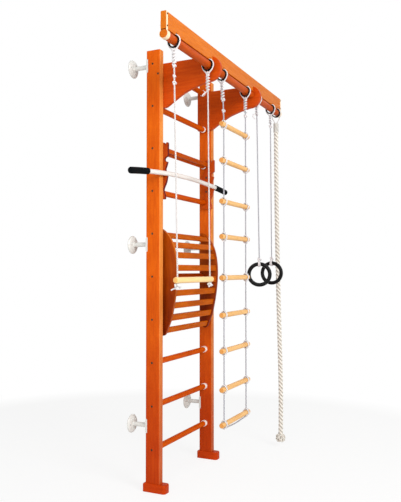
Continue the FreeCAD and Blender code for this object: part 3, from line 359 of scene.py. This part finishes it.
# Shades by which a colour is multiplied, and the heights between which the one at the foot sets in: the foot
# shades are painted shade, darker towards the bottom of a piece, the lit ones are painted light on faces
# along one axis, and the end grain is the wood's own darker colour
RED_FOOT_SHADE = (0.70, 0.42, 0.60, 1.0)
MAHOGANY_FOOT_SHADE = (0.45, 0.24, 0.30, 1.0)
# Painted light on the faces along Y of the left cheek: a lit front edge
LIT_CHEEK_EDGE = (1.7, 2.6, 9.0, 1.0)
LIT_FRONT = (1.10, 2.3, 14.0, 1.0)
LIT_BAR_END = (1.2, 1.9, 1.6, 1.0)
LIT_RACK_SIDE = (2.9, 14.0, 6.0, 1.0)
END_GRAIN = (0.86, 0.66, 0.45, 1.0)

upright_wood = wood("stained_upright", ORANGE_LIGHT, ORANGE_DARK, ALONG_Z, bands=0.55, blotches=0.35,
                    foot=(0.25, 1.15, RED_FOOT_SHADE), tone=("Y", LIT_FRONT))
rung_wood = wood("stained_rung", paint(214, 90, 4), paint(176, 58, 0), ALONG_X, bands=0.5, shine=0.02)
arm_wood = wood("stained_arm", paint(208, 82, 14), paint(178, 58, 4), ALONG_Y, bands=0.55, blotches=0.4)
bar_wood = wood("stained_bar", paint(198, 84, 18), paint(162, 56, 8), ALONG_X, bands=0.45,
                tone=("X", LIT_BAR_END))
board_wood = wood("stained_board", paint(216, 120, 30), paint(194, 94, 16), ALONG_X, bands=0.5,
                  blotches=0.25)
foot_wood = wood("stained_foot", paint(196, 64, 8), paint(166, 46, 2), ALONG_Y, bands=0.5, blotches=0.3)
rack_wood = wood("stained_rack", paint(116, 16, 2), paint(84, 6, 0), ALONG_Z, bands=0.5, blotches=0.4,
                 tone=("X", LIT_RACK_SIDE))
plate_wood = wood("stained_plate", paint(196, 78, 10), paint(158, 48, 2), ALONG_Z, bands=0.5, blotches=0.4)
rail_wood = wood("stained_rail", paint(196, 84, 2), paint(156, 52, 0), ALONG_X, bands=0.5, shine=0.02)
cheek_wood = wood("mahogany_cheek", paint(182, 82, 2), paint(138, 46, 0), ALONG_Z, bands=0.55, blotches=0.4,
                  foot=(0.85, 1.35, MAHOGANY_FOOT_SHADE))
# Left cheek: the same mahogany with painted light on its front edge
lit_edge_cheek_wood = wood("mahogany_lit_edge_cheek", paint(182, 82, 2), paint(138, 46, 0), ALONG_Z, bands=0.55,
                       blotches=0.4, foot=(0.85, 1.35, MAHOGANY_FOOT_SHADE), tone=("Y", LIT_CHEEK_EDGE))
slat_wood = wood("stained_slat", paint(204, 100, 4), paint(166, 66, 0), ALONG_X, bands=0.5, shine=0.02)
pale_wood = wood("bare_rung", paint(240, 194, 130), paint(218, 160, 92), ALONG_X, bands=0.5, pores=0.3,
                 tone=("X", END_GRAIN))
cream_wood = wood("bare_swing_bar", paint(250, 218, 158), paint(234, 190, 124), ALONG_X, bands=0.45,
                  pores=0.25, tone=("X", END_GRAIN))

enamel = coated("white_enamel", paint(212, 211, 206), paint(190, 188, 182), rough=0.32, size=420.0,
                amount=0.15, relief=0.00015, coat=0.1)
white_plastic = coated("white_cup", paint(244, 242, 236), paint(224, 218, 206), rough=0.38, size=700.0,
                       amount=0.3, relief=0.0001)
tube_enamel = coated("tube_enamel", paint(232, 226, 220), paint(214, 208, 200), rough=0.32, size=420.0,
                     amount=0.15, relief=0.0001, coat=0.1)
strap_enamel = coated("cream_strap", paint(244, 220, 184), paint(222, 192, 154), rough=0.34, size=500.0,
                      amount=0.35, relief=0.0001, coat=0.1)
black_ring = coated("black_ring", paint(8, 8, 9), paint(24, 24, 24), rough=0.34, size=260.0, amount=0.35,
                    relief=0.0002, shine=0.12)
black_hanger = coated("black_hanger", paint(8, 8, 8), paint(24, 22, 20), rough=0.50, size=600.0,
                      amount=0.4, relief=0.0001, shine=0.08)
rubber = coated("foam_grip", paint(6, 8, 10), paint(22, 25, 27), rough=0.75, size=900.0, amount=0.45,
                relief=0.0005, strength=0.6, shine=0.05)
steel = coated("dark_zinc", paint(96, 84, 70), paint(56, 46, 38), rough=0.42, size=500.0, amount=0.6,
               relief=0.0001, metal=1.0)

white_fibre = rope_fibre("white_fibre", paint(248, 243, 239), paint(206, 199, 197), paint(116, 104, 103),
                         groove_shade=0.68)
# The same white rope as the swing ropes, painted greyer and bluer and with more shade where the strands meet:
# painted shade on the ring and ladder ropes
shaded_rope_fibre = rope_fibre("shaded_rope_fibre", paint(216, 216, 222), paint(150, 148, 160), paint(58, 58, 72))
# The same white rope with less painted shade where the strands meet and between the yarns, for the eyes,
# knots and lashings
knot_fibre = rope_fibre("knot_fibre", paint(250, 247, 246), paint(216, 212, 214), paint(140, 134, 140),
                        groove_shade=0.5)
thick_fibre = rope_fibre("thick_fibre", paint(248, 243, 233), paint(216, 208, 194), paint(150, 141, 131),
                         count=9.0, slant=60.0, relief=0.0008, groove_shade=0.6)
whip_fibre = rope_fibre("whip_fibre", paint(240, 238, 232), paint(196, 190, 180), paint(120, 112, 104),
                        count=3.0, slant=200.0, fuzz=0.4, relief=0.0002, groove_shade=0.2)


def dress(names, material):
    """Puts one material on CAD nodes."""
    for name in names:
        for slot in nodes[name].material_slots:
            slot.material = material


# ---------------------------------------------------------------- mesh helpers
def deselect():
    if bpy.context.object is not None and bpy.context.object.mode != "OBJECT":
        bpy.ops.object.mode_set(mode="OBJECT")
    bpy.ops.object.select_all(action="DESELECT")


def activate(piece):
    deselect()
    piece.select_set(True)
    bpy.context.view_layer.objects.active = piece


SMOOTH_ANGLE = 35.0
MERGE_DISTANCE, FLAT_ANGLE, EDGE_ANGLE = 0.00001, 0.5, 40.0
EASE_STEPS = 3


def finished(piece, material, body, angle=SMOOTH_ANGLE):
    """Last steps of every new piece: its finish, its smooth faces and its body."""
    piece.data.materials.clear()
    piece.data.materials.append(material)
    activate(piece)
    bpy.ops.object.shade_smooth_by_angle(angle=math.radians(angle))
    deselect()
    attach(piece, body)
    return piece


def eased(name, node_name, width, material, body):
    """Copy of a CAD node with its edges eased by hand tools, shown in the node's place."""
    source = nodes[node_name]
    piece = bpy.data.objects.new(name, source.data.copy())
    bpy.context.scene.collection.objects.link(piece)
    activate(piece)
    bpy.ops.object.mode_set(mode="EDIT")
    bpy.ops.mesh.select_all(action="SELECT")
    bpy.ops.mesh.remove_doubles(threshold=MERGE_DISTANCE)
    bpy.ops.mesh.dissolve_limited(angle_limit=math.radians(FLAT_ANGLE))
    bpy.ops.object.mode_set(mode="OBJECT")
    bevel = piece.modifiers.new("eased_edges", "BEVEL")
    bevel.width = width
    bevel.segments = EASE_STEPS
    bevel.limit_method = "ANGLE"
    bevel.angle_limit = math.radians(EDGE_ANGLE)
    bevel.miter_outer = "MITER_ARC"
    bevel.use_clamp_overlap = True
    bpy.ops.object.modifier_apply(modifier=bevel.name)
    finished(piece, material, body)
    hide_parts(node_name)
    return piece


# ---------------------------------------------------------------- rope helpers
# Every cord is laid from three strands, each a little thicker than half its radius
STRANDS, SIDES, WOUND_SIDES = 3, 7, 6
STRAND_SHARE = 0.52
ROUTE_STEPS = 24
FINE_STEP, FINE_PITCH = 0.0022, 0.026
# Steps and pitches of knots and tails, as shares of their cord
KNOT_STEP, TAIL_STEP, KNOT_PITCH = 0.28, 0.3, 3.2
KNOT_POINTS = 96
TURN_PITCH = 0.020
ROPE_ANGLE = 70.0


def rope_curve(name, points):
    """NURBS line with these control points."""
    data = bpy.data.curves.new(name, "CURVE")
    data.dimensions = "3D"
    data.resolution_u = ROUTE_STEPS
    spline = data.splines.new("NURBS")
    spline.points.add(len(points) - 1)
    for target, place in zip(spline.points, points):
        target.co = (*place, 1.0)
    spline.order_u = 3
    spline.use_endpoint_u = True
    return data


def line_of(points):
    """Points along the NURBS line of a route."""
    data = rope_curve("route", points)
    carrier = bpy.data.objects.new("route", data)
    mesh = bpy.data.meshes.new_from_object(carrier)
    line = [v.co.copy() for v in mesh.vertices]
    bpy.data.objects.remove(carrier)
    bpy.data.curves.remove(data)
    bpy.data.meshes.remove(mesh)
    return line


def evenly(line, step):
    """The line again, with points a step apart."""
    lengths = [0.0]
    for a, b in zip(line, line[1:]):
        lengths.append(lengths[-1] + (b - a).length)
    count = max(2, math.ceil(lengths[-1] / step) + 1)
    spaced = []
    place = 0
    for k in range(count):
        along = lengths[-1] * k / (count - 1)
        while place < len(lengths) - 2 and lengths[place + 1] < along:
            place += 1
        run = max(lengths[place + 1] - lengths[place], 1e-12)
        spaced.append(line[place].lerp(line[place + 1], min(1.0, (along - lengths[place]) / run)))
    return spaced, lengths[-1] / (count - 1)


def carried_frames(line):
    """Two directions across the line at each point, carried along without twist."""
    frames = []
    across = None
    for k, place in enumerate(line):
        along = (line[min(k + 1, len(line) - 1)] - line[max(k - 1, 0)]).normalized()
        if across is None:
            across = along.orthogonal().normalized()
        across = (across - along * across.dot(along)).normalized()
        frames.append((across, along.cross(across)))
    return frames


def strand_mesh(name, line, step, radius, strands, pitch, sides):
    """Laid rope along a line: strands wound round it, with a UV map that runs round and along each."""
    frames = carried_frames(line)
    if strands == 1:
        thick, orbit = radius, 0.0
    else:
        thick = radius * STRAND_SHARE
        orbit = radius - thick
    verts, faces, uvs = [], [], []
    for strand in range(strands):
        first = len(verts)
        for k, place in enumerate(line):
            across, other = frames[k]
            spin = -math.tau * (k * step / pitch + strand / strands)
            centre = place + (across * math.cos(spin) + other * math.sin(spin)) * orbit
            for s in range(sides):
                angle = spin + math.tau * s / sides
                verts.append(centre + (across * math.cos(angle) + other * math.sin(angle)) * thick)
        for k in range(len(line) - 1):
            for s in range(sides):
                a = first + k * sides + s
                b = first + k * sides + (s + 1) % sides
                faces.append((a, b, b + sides, a + sides))
                u0, u1 = s / sides, (s + 1) / sides
                v0, v1 = k * step, (k + 1) * step
                uvs += [(u0, v0), (u1, v0), (u1, v1), (u0, v1)]
        last = first + (len(line) - 1) * sides
        faces.append(tuple(first + s for s in reversed(range(sides))))
        faces.append(tuple(last + s for s in range(sides)))
        uvs += [(0.5, 0.0)] * sides + [(0.5, 0.0)] * sides
    mesh = bpy.data.meshes.new(name)
    mesh.from_pydata([tuple(v) for v in verts], [], faces)
    layer = mesh.uv_layers.new(name="strand")
    for loop, uv in zip(layer.data, uvs):
        loop.uv = uv
    mesh.update()
    piece = bpy.data.objects.new(name, mesh)
    bpy.context.scene.collection.objects.link(piece)
    return piece


def tied(piece, fibre, body):
    """Last steps of every piece of rope."""
    return finished(piece, fibre, body, angle=ROPE_ANGLE)


def laid_rope(name, points, diameter, body, pitch, step, sides=SIDES, fibre=white_fibre):
    """Rope of three strands that follows a route; gives the piece and the line that it follows."""
    line, run = evenly(line_of(points), step)
    piece = tied(strand_mesh(name, line, run, diameter / 2, STRANDS, pitch, sides), fibre, body)
    return piece, line


def joined(name, pieces):
    """Several meshes of one material made one piece."""
    activate(pieces[0])
    for piece in pieces[1:]:
        piece.select_set(True)
    bpy.ops.object.join()
    pieces[0].name = name
    deselect()
    return pieces[0]


def wound(name, start, end, core, thick, pitch, per_turn, strands):
    """Cord wound round a straight stretch: a thin one closely, or the rope's own tail in open turns."""
    start, end = Vector(start), Vector(end)
    along = (end - start).normalized()
    across = along.orthogonal().normalized()
    other = along.cross(across)
    turns = (end - start).length / pitch
    count = max(8, int(turns * per_turn))
    line = []
    for k in range(count + 1):
        angle = math.tau * turns * k / count
        line.append(start + along * ((end - start).length * k / count)
                    + (across * math.cos(angle) + other * math.sin(angle)) * (core + thick))
    step = sum((b - a).length for a, b in zip(line, line[1:])) / count
    return strand_mesh(name, line, step, thick, strands, TURN_PITCH, WOUND_SIDES)


UPRIGHT = Matrix.Rotation(math.radians(90), 3, "Y")


def knot_line(centre, size, height):
    """Closed line of an overhand knot that stands upright, size across and height deep."""
    points = []
    for k in range(KNOT_POINTS + 1):
        t = math.tau * k / KNOT_POINTS
        place = Vector(((math.sin(t) + 2 * math.sin(2 * t)) / 3 * size / 2,
                        (math.cos(t) - 2 * math.cos(2 * t)) / 3 * size / 2, -math.sin(3 * t) * height / 2))
        points.append(Vector(centre) + UPRIGHT @ place)
    return points


def overhand(name, centre, size, height, cord):
    """Small overhand knot of a laid cord."""
    line, step = evenly(knot_line(centre, size - cord, height - cord), cord * KNOT_STEP)
    return strand_mesh(name, line, step, cord / 2, STRANDS, cord * KNOT_PITCH, SIDES)


def short_tail(name, points, diameter):
    line, step = evenly(line_of(points), diameter * TAIL_STEP)
    return strand_mesh(name, line, step, diameter / 2, STRANDS, diameter * KNOT_PITCH, SIDES)


# Route of a rope's eye, as Y and Z from the hanger's centre: up from its tail, round and down again
EYE_ROUTE = (
    (0.0037, -0.0577), (0.0037, -0.0437), (0.0250, -0.0233), (0.0341, 0.0024), (0.0233, 0.0250),
    (0.0, 0.0341), (-0.0233, 0.0250), (-0.0341, 0.0024), (-0.0250, -0.0233), (-0.0037, -0.0437),
    (-0.0037, -0.0577),
)


def eye_piece(name, x):
    route = [(x, bar_y + y, hanger_z + z) for y, z in EYE_ROUTE]
    line, step = evenly(line_of(route), FINE_STEP)
    return strand_mesh(name, line, step, rope / 2, STRANDS, FINE_PITCH, SIDES)


TURNS_BELOW_START, TURNS_ABOVE_END = 0.008, 0.004


def seized_eye(name, x, start, end, length, body):
    """Rope's eye round its hanger and the rope's own tail wound below it, as one piece."""
    along = (Vector(end) - Vector(start)).normalized()
    top = Vector(start) + along * TURNS_BELOW_START
    bottom = Vector(start) + along * (length - TURNS_ABOVE_END)
    turns = wound(name + "_turns", top, bottom, core=0.0038, thick=0.0038, pitch=0.0150, per_turn=18,
                  strands=STRANDS)
    return tied(joined(name, [eye_piece(name, x), turns]), knot_fibre, body)


# ---------------------------------------------------------------- ropes
def straight_rope(name, cad_node, points, body, tail_length, fibre, ties):
    """Rope that hangs from its hanger: eye, wound tail, laid rope and what is tied on it."""
    piece, line = laid_rope(name, points, rope, body, FINE_PITCH, FINE_STEP, fibre=fibre)
    eye = seized_eye(name + "_eye", points[0][0], points[0], points[1], tail_length, body)
    held = [eye] + [tied(tie, knot_fibre, body) for tie in ties]
    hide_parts(cad_node)
    return piece


LEADS, BIGHTS = 3, 5
WEAVE_POINTS = 420
WEAVE_PITCH, WEAVE_STEP, WEAVE_SIDES = 0.050, 0.35, 8
POLE_SHARE = 0.45
ROUNDNESS = 0.92


def turk_knot(name, centre, radius, half_height, thick, swell):
    """Round stopper knot: a cord woven round as a turk's head."""
    line = []
    for k in range(WEAVE_POINTS + 1):
        t = math.tau * k / WEAVE_POINTS
        out = math.cos(ROUNDNESS * math.asin(min(1.0, abs(math.sin(BIGHTS * t)))))
        reach = radius * (POLE_SHARE + (1.0 - POLE_SHARE) * out) + swell * math.sin(2 * BIGHTS * t)
        line.append(Vector(centre) + Vector((reach * math.cos(LEADS * t), reach * math.sin(LEADS * t),
                                             half_height * math.sin(BIGHTS * t))))
    line, step = evenly(line, thick * WEAVE_STEP)
    return strand_mesh(name, line, step, thick / 2, STRANDS, WEAVE_PITCH, WEAVE_SIDES)


RING_TURN_REACH = 0.01615


def ring_turns(name, centre, spread, turn=0.0):
    """Two turns of the rope round the top of a ring's section, as one length; turn is the ring's own."""
    x, y, z = centre
    side = RING_TURN_REACH
    points = [
        (x, y, z + 0.026), (x + 0.006, y - spread * 0.6, z + 0.0195), (x + side, y - spread, z + 0.0075),
        (x + side, y - spread, z - 0.0075), (x + 0.0068, y - spread, z - side),
        (x - 0.0068, y - spread * 0.9, z - side), (x - side, y - spread * 0.7, z - 0.0075),
        (x - side, y - spread * 0.5, z + 0.0075),
        (x - 0.0068, y - spread * 0.3, z + side + 0.001), (x + 0.0068, y + spread * 0.3, z + side + 0.001),
        (x + side, y + spread * 0.6, z + 0.0075), (x + side, y + spread, z - 0.0075),
        (x + 0.0068, y + spread, z - side), (x - 0.0068, y + spread, z - side),
        (x - side, y + spread, z - 0.0075), (x - side, y + spread, z + 0.0075),
        (x - 0.006, y + spread * 0.6, z + 0.0195), (x, y, z + 0.026),
    ]
    about_ring = Matrix.Rotation(math.radians(turn), 4, "Z")
    turned = Matrix.Translation(centre) @ about_ring @ Matrix.Translation((-x, -y, -z))
    line, step = evenly(line_of([turned @ Vector(p) for p in points]), FINE_STEP)
    return strand_mesh(name, line, step, rope / 2, STRANDS, FINE_PITCH, SIDES)


# Swing: the left rope has a short wound tail with three small knots below it, the right one a long tail
left_swing_points = [
    (-0.7180, bar_y, top_z), (-0.7162, bar_y, second_z), (-0.6980, bar_y, 1.6680), (-0.6798, bar_y, 1.1765),
    (-0.6771, bar_y, 1.1027),
]
left_swing_ties = [
    overhand("left_swing_upper_knot", (-0.7150, bar_y, 2.1270), size=0.023, height=0.020, cord=0.0072),
    overhand("left_swing_middle_knot", (-0.7132, bar_y, 2.0780), size=0.018, height=0.016, cord=0.0062),
    overhand("left_swing_lower_knot", (-0.7120, bar_y, 2.0460), size=0.022, height=0.019, cord=0.0070),
    overhand("left_swing_foot_knot", (-0.6771, bar_y, 1.0990), size=0.036, height=0.030, cord=0.0105),
    short_tail("left_swing_tail", [(-0.6775, bar_y + 0.003, 1.097), (-0.6800, bar_y + 0.013, 1.090),
                                   (-0.6835, bar_y + 0.023, 1.085), (-0.6870, bar_y + 0.030, 1.081)],
               diameter=0.0075),
]
straight_rope("left_swing_line", "swing_rope_left", left_swing_points, "swing",
              tail_length=0.075, fibre=white_fibre, ties=left_swing_ties)
right_swing_points = [
    (-0.3420, bar_y, top_z), (-0.3408, bar_y, second_z), (-0.3290, bar_y, 1.6678), (-0.3172, bar_y, 1.1765),
    (-0.3154, bar_y, 1.1027),
]
right_swing_ties = [
    overhand("right_swing_foot_knot", (-0.3154, bar_y, 1.1000), size=0.030, height=0.029, cord=0.0098),
    short_tail("right_swing_upper_tail", [(-0.3400, bar_y + 0.003, 2.104), (-0.3430, bar_y + 0.012, 2.098),
                                          (-0.3480, bar_y + 0.021, 2.090), (-0.3520, bar_y + 0.028, 2.079)],
               diameter=0.0065),
]
straight_rope("right_swing_line", "swing_rope_right", right_swing_points, "swing",
              tail_length=0.105, fibre=white_fibre, ties=right_swing_ties)

# Rings: each rope is knotted above its ring and takes two turns round it
left_ring_points = [
    (0.3880, bar_y, top_z), (0.3900, bar_y, second_z), (0.4080, bar_y, 1.7229), (0.4260, bar_y, 1.2860),
    (0.4280, bar_y, 1.2382),
]
left_ring_ties = [
    overhand("left_ring_knot", (0.4280, bar_y, 1.2420), size=0.030, height=0.026, cord=0.0094),
    ring_turns("left_ring_turns", (0.4280, bar_y, 1.2130), spread=0.0046, turn=20.0),
    short_tail("left_ring_tail", [(0.3905, bar_y + 0.002, 2.140), (0.3855, bar_y + 0.012, 2.150),
                                  (0.3800, bar_y + 0.020, 2.146), (0.3780, bar_y + 0.022, 2.134),
                                  (0.3800, bar_y + 0.016, 2.122), (0.3870, bar_y + 0.008, 2.118)],
               diameter=0.0060),
]
straight_rope("left_ring_line", "ring_rope_left", left_ring_points, "left_ring",
              tail_length=0.072, fibre=shaded_rope_fibre, ties=left_ring_ties)
right_ring_points = [
    (0.6480, bar_y, top_z), (0.6488, bar_y, second_z), (0.6560, bar_y, 1.7269), (0.6632, bar_y, 1.2940),
    (0.6640, bar_y, 1.2462),
]
right_ring_ties = [
    overhand("right_ring_knot", (0.6640, bar_y, 1.2500), size=0.030, height=0.026, cord=0.0094),
    ring_turns("right_ring_turns", (0.6640, bar_y, 1.2210), spread=0.0046),
    overhand("right_ring_upper_knot", (0.6494, bar_y, 2.1245), size=0.026, height=0.022, cord=0.0075),
]
straight_rope("right_ring_line", "ring_rope_right", right_ring_points, "right_ring",
              tail_length=0.072, fibre=shaded_rope_fibre, ties=right_ring_ties)


# Ladder: one rope from hanger to hanger, under the lowest rung, lashed at each rung
LASHING_RADIUS, LASHING_STEP, LASHING_SIDES = 0.0028, 0.0024, 6
# Route of a lashing's loop: which of two distances beside the rope, then Y and Z from the rung's centre
LASHING_BESIDE = (0.0034, 0.0064)
LASHING_ROUTE = (
    (0, 0.0178, 0.0), (0, 0.0178, 0.0056), (1, 0.0108, 0.0160), (1, 0.0, 0.0268), (1, -0.0108, 0.0160),
    (0, -0.0178, 0.0056), (0, -0.0178, -0.0056), (1, -0.0108, -0.0160), (1, 0.0, -0.0268),
    (1, 0.0108, -0.0160), (0, 0.0178, -0.0056), (0, 0.0178, 0.0),
)


def lashing(name, place):
    """Two thin loops over and under a rung, beside the rope: a diamond seen along the rung."""
    x, y, z = place
    loops = []
    for side in (-1, 1):
        points = [(x + side * LASHING_BESIDE[far], y + out, z + up) for far, out, up in LASHING_ROUTE]
        line, step = evenly(line_of(points), LASHING_STEP)
        loops.append(strand_mesh(name, line, step, LASHING_RADIUS, STRANDS, TURN_PITCH, LASHING_SIDES))
    return loops


ladder_points = [
    (-0.1580, bar_y, top_z), (-0.1509, bar_y, second_z), (-0.1310, bar_y, 2.0260), (-0.1310, bar_y, 1.8900),
    (-0.1310, bar_y, 0.3660), (-0.1310, bar_y, 0.3180), (-0.0830, bar_y, 0.3172), (0.0320, bar_y, 0.3120),
    (0.1470, bar_y, 0.3172), (0.1950, bar_y, 0.3180), (0.1950, bar_y, 0.3660), (0.1950, bar_y, 1.8900),
    (0.1950, bar_y, 2.0260), (0.1943, bar_y, second_z), (0.1940, bar_y, top_z),
]
ladder_sides = (-0.1310, 0.1950)
ladder_rung_heights = (1.9720, 1.7729, 1.5493, 1.3567, 1.1332, 0.9308, 0.7366, 0.5293, 0.3400)
ladder_line, ladder_path = laid_rope("ladder_line", ladder_points, rope, "rope_ladder", FINE_PITCH, FINE_STEP,
                                     fibre=shaded_rope_fibre)
ladder_lashings = []
for height in ladder_rung_heights:
    for x in ladder_sides:
        ladder_lashings += lashing("lashing", (x, bar_y, height))
lashings = tied(joined("ladder_lashings", ladder_lashings), knot_fibre, "rope_ladder")
ladder_left_eye = seized_eye("ladder_left_eye", -0.1580, ladder_points[0], ladder_points[2],
                             length=0.100, body="rope_ladder")
ladder_right_eye = seized_eye("ladder_right_eye", 0.1940, ladder_points[-1], ladder_points[-3],
                              length=0.100, body="rope_ladder")
ladder_knots = [
    overhand("ladder_left_upper_knot", (-0.1432, bar_y, 2.1080), size=0.026, height=0.023, cord=0.0078),
    overhand("ladder_left_lower_knot", (-0.1346, bar_y, 2.0480), size=0.023, height=0.020, cord=0.0074),
    overhand("ladder_right_knot", (0.1945, bar_y, 2.0920), size=0.026, height=0.023, cord=0.0078),
]
for knot in ladder_knots:
    tied(knot, knot_fibre, "rope_ladder")
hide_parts("ladder_rope")

# Climbing rope: three thick strands, whipped at the top and knotted at the foot, on a thin sling
climbing_points = [
    (0.7640, bar_y, 2.1680), (0.7640, bar_y, 1.9760), (0.7640, bar_y - 0.004, 1.4300),
    (0.7640, bar_y - 0.017, 0.8200), (0.7640, bar_y - 0.030, 0.3100), (0.7640, bar_y - 0.024, 0.0590),
]
climbing_line, climbing_path = laid_rope("climbing_line", climbing_points, diameter=0.032,
                                         body="climbing_rope_unit", pitch=0.079, step=0.0045, sides=14,
                                         fibre=thick_fibre)
climbing_turns = wound("climbing_whipping", (0.7640, bar_y, 2.1675), (0.7640, bar_y, 2.1060), core=0.0148,
                       thick=0.0013, pitch=0.0027, per_turn=26, strands=1)
climbing_whipping = tied(climbing_turns, whip_fibre, "climbing_rope_unit")
climbing_weave = turk_knot("climbing_foot_knot", climbing_points[-1], radius=0.0250, half_height=0.0190,
                           thick=0.0160, swell=0.0015)
climbing_knot = tied(climbing_weave, thick_fibre, "climbing_rope_unit")
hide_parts("climbing_rope")

sling_points = [
    (0.7640, bar_y - 0.0068, 2.1540), (0.7640, bar_y - 0.0068, 2.1740), (0.7640, bar_y - 0.0306, 2.2120),
    (0.7640, bar_y - 0.0312, 2.2520), (0.7640, bar_y - 0.0129, 2.2705), (0.7640, bar_y + 0.0129, 2.2705),
    (0.7640, bar_y + 0.0312, 2.2520), (0.7640, bar_y + 0.0306, 2.2120), (0.7640, bar_y + 0.0068, 2.1740),
    (0.7640, bar_y + 0.0068, 2.1540),
]
sling_line, sling_path = laid_rope("climbing_sling", sling_points, diameter=0.006,
                                   body="climbing_rope_unit", pitch=0.020, step=0.0018)
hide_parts("climbing_rope_sling")


# ---------------------------------------------------------------- wood and metal of the frame
ARM_EASE, RACK_EASE, CHEEK_EASE = 0.0025, 0.0020, 0.0030

# The left cheek takes the mahogany with painted light on its front edge
for side, plate, cheek in (("right", plate_wood, cheek_wood), ("left", rack_wood, lit_edge_cheek_wood)):
    eased(side + "_arm_eased", side + "_arm", ARM_EASE, arm_wood, "frame")
    eased(side + "_rack_eased", side + "_rack_plate", RACK_EASE, plate, "frame")
    eased(side + "_cheek_eased", side + "_bow_cheek", CHEEK_EASE, cheek, "back_board")

dress(["right_upright", "left_upright"], upright_wood)
dress([f"rung_{n:02d}" for n in range(1, 11)], rung_wood)
dress(["rung_cups"], white_plastic)
dress(["rung_screws", "bracket_screws", "arm_screws", "strap_screws", "rack_screws"], steel)
dress(["right_foot", "left_foot"], foot_wood)
for side in ("right", "left"):
    dress([f"{side}_{level}_wall_bracket" for level in ("upper", "middle", "lower")], enamel)
dress(["pull_up_bar"], bar_wood)
dress(["top_board"], board_wood)
dress(["right_strap", "left_strap"], strap_enamel)
dress(["rack_rail"], rail_wood)
dress(["grip_bar"], tube_enamel)
dress(["left_grip", "right_grip"], rubber)
dress(["bow_slats"], slat_wood)
dress(["swing_hanger_left", "swing_hanger_right", "ladder_hanger_left", "ladder_hanger_right",
       "ring_hanger_left", "ring_hanger_right", "climbing_rope_hanger"], black_hanger)
dress(["gym_ring_left", "gym_ring_right"], black_ring)
dress(["swing_bar"], cream_wood)
dress(["ladder_rungs"], pale_wood)


# ---------------------------------------------------------------- floor, light and camera
FLOOR_SIZE = 40.0
# How much of the floor shows as plain white, between two distances from the middle
SHADOW_NEAR, SHADOW_FAR, LEAST_WHITE = 0.3, 2.6, 0.82
SOFT_SKY = 0.50
# Height and focal length of the picture in pixels, the sensor in millimetres
PHOTO_HEIGHT, FOCAL_LENGTH, SENSOR = 502.0, 628.9, 36.0
FARTHEST = 60.0


def clear_light(tree):
    """1 for rays of the camera and for those that a gloss or a glass sends on."""
    path = node(tree, "ShaderNodeLightPath")
    first = combined(tree, "MAXIMUM", path.outputs["Is Camera Ray"], path.outputs["Is Glossy Ray"])
    return combined(tree, "MAXIMUM", first, path.outputs["Is Transmission Ray"])


def pale_floor():
    """Pale floor that keeps the shadow near the object and goes over into the white beyond."""
    material, tree, shader = new_material("pale_floor")
    where = node(tree, "ShaderNodeTexCoord")
    specks = placed_group(tree, speckle, {"Vector": where.outputs["Object"], "Base": paint(246, 246, 245),
                                          "Tint": paint(240, 240, 239), "Size": 60.0, "Amount": 0.3,
                                          "Rough": 0.7})
    tree.links.new(specks.outputs["Color"], shader.inputs["Base Color"])
    tree.links.new(specks.outputs["Roughness"], shader.inputs["Roughness"])
    reach = node(tree, "ShaderNodeVectorMath", [(0, where.outputs["Object"])], operation="LENGTH")
    far = ranged(tree, reach.outputs["Value"], SHADOW_NEAR, SHADOW_FAR)
    share = combined(tree, "MULTIPLY", combined(tree, "MAXIMUM", far, LEAST_WHITE), clear_light(tree))
    white = node(tree, "ShaderNodeEmission", [("Color", (1.0, 1.0, 1.0, 1.0)), ("Strength", 1.0)])
    mix = node(tree, "ShaderNodeMixShader", [(0, share), (1, shader.outputs[0]), (2, white.outputs[0])])
    tree.links.new(mix.outputs[0], tree.nodes["Material Output"].inputs["Surface"])
    return material


deselect()
bpy.ops.mesh.primitive_plane_add(size=FLOOR_SIZE, location=(0.0, 0.0, 0.0))
floor = bpy.context.object
floor.name = "floor"
floor.data.materials.append(pale_floor())

world = bpy.data.worlds.new("studio")
bpy.context.scene.world = world
world.use_nodes = True
sky = world.node_tree
sky.nodes.clear()
seen = node(sky, "ShaderNodeBackground", [("Color", (1.0, 1.0, 1.0, 1.0)), ("Strength", 1.0)])
soft = node(sky, "ShaderNodeBackground", [("Color", (1.0, 1.0, 1.0, 1.0)), ("Strength", SOFT_SKY)])
sky_mix = node(sky, "ShaderNodeMixShader", [(0, clear_light(sky)), (1, soft.outputs[0]),
                                            (2, seen.outputs[0])])
node(sky, "ShaderNodeOutputWorld", [("Surface", sky_mix.outputs[0])])


def lamp(name, place, target, size, watts):
    data = bpy.data.lights.new(name, "AREA")
    data.shape = "DISK"
    data.size = size
    data.energy = watts
    piece = bpy.data.objects.new(name, data)
    bpy.context.scene.collection.objects.link(piece)
    piece.location = place
    piece.rotation_euler = (Vector(target) - Vector(place)).to_track_quat("-Z", "Y").to_euler()


middle_of_part = (0.0, -0.3, 1.2)
lamp("key", (-2.2, -4.6, 3.4), middle_of_part, size=2.4, watts=190.0)
lamp("fill", (-4.4, -1.0, 2.0), middle_of_part, size=2.0, watts=62.0)

eye_place = Vector((-3.282, -1.8146, 1.1748))
yaw, pitch = math.radians(25.415), math.radians(1.743)
ahead = Vector((math.cos(yaw) * math.cos(pitch), math.sin(yaw) * math.cos(pitch), math.sin(pitch)))
lens = bpy.data.cameras.new("camera")
lens.sensor_width = SENSOR
lens.lens = FOCAL_LENGTH / PHOTO_HEIGHT * SENSOR
lens.clip_end = FARTHEST
camera = bpy.data.objects.new("camera", lens)
bpy.context.scene.collection.objects.link(camera)
camera.location = eye_place
camera.rotation_euler = ahead.to_track_quat("-Z", "Y").to_euler()
bpy.context.scene.camera = camera

bpy.context.scene.view_settings.view_transform = "Standard"
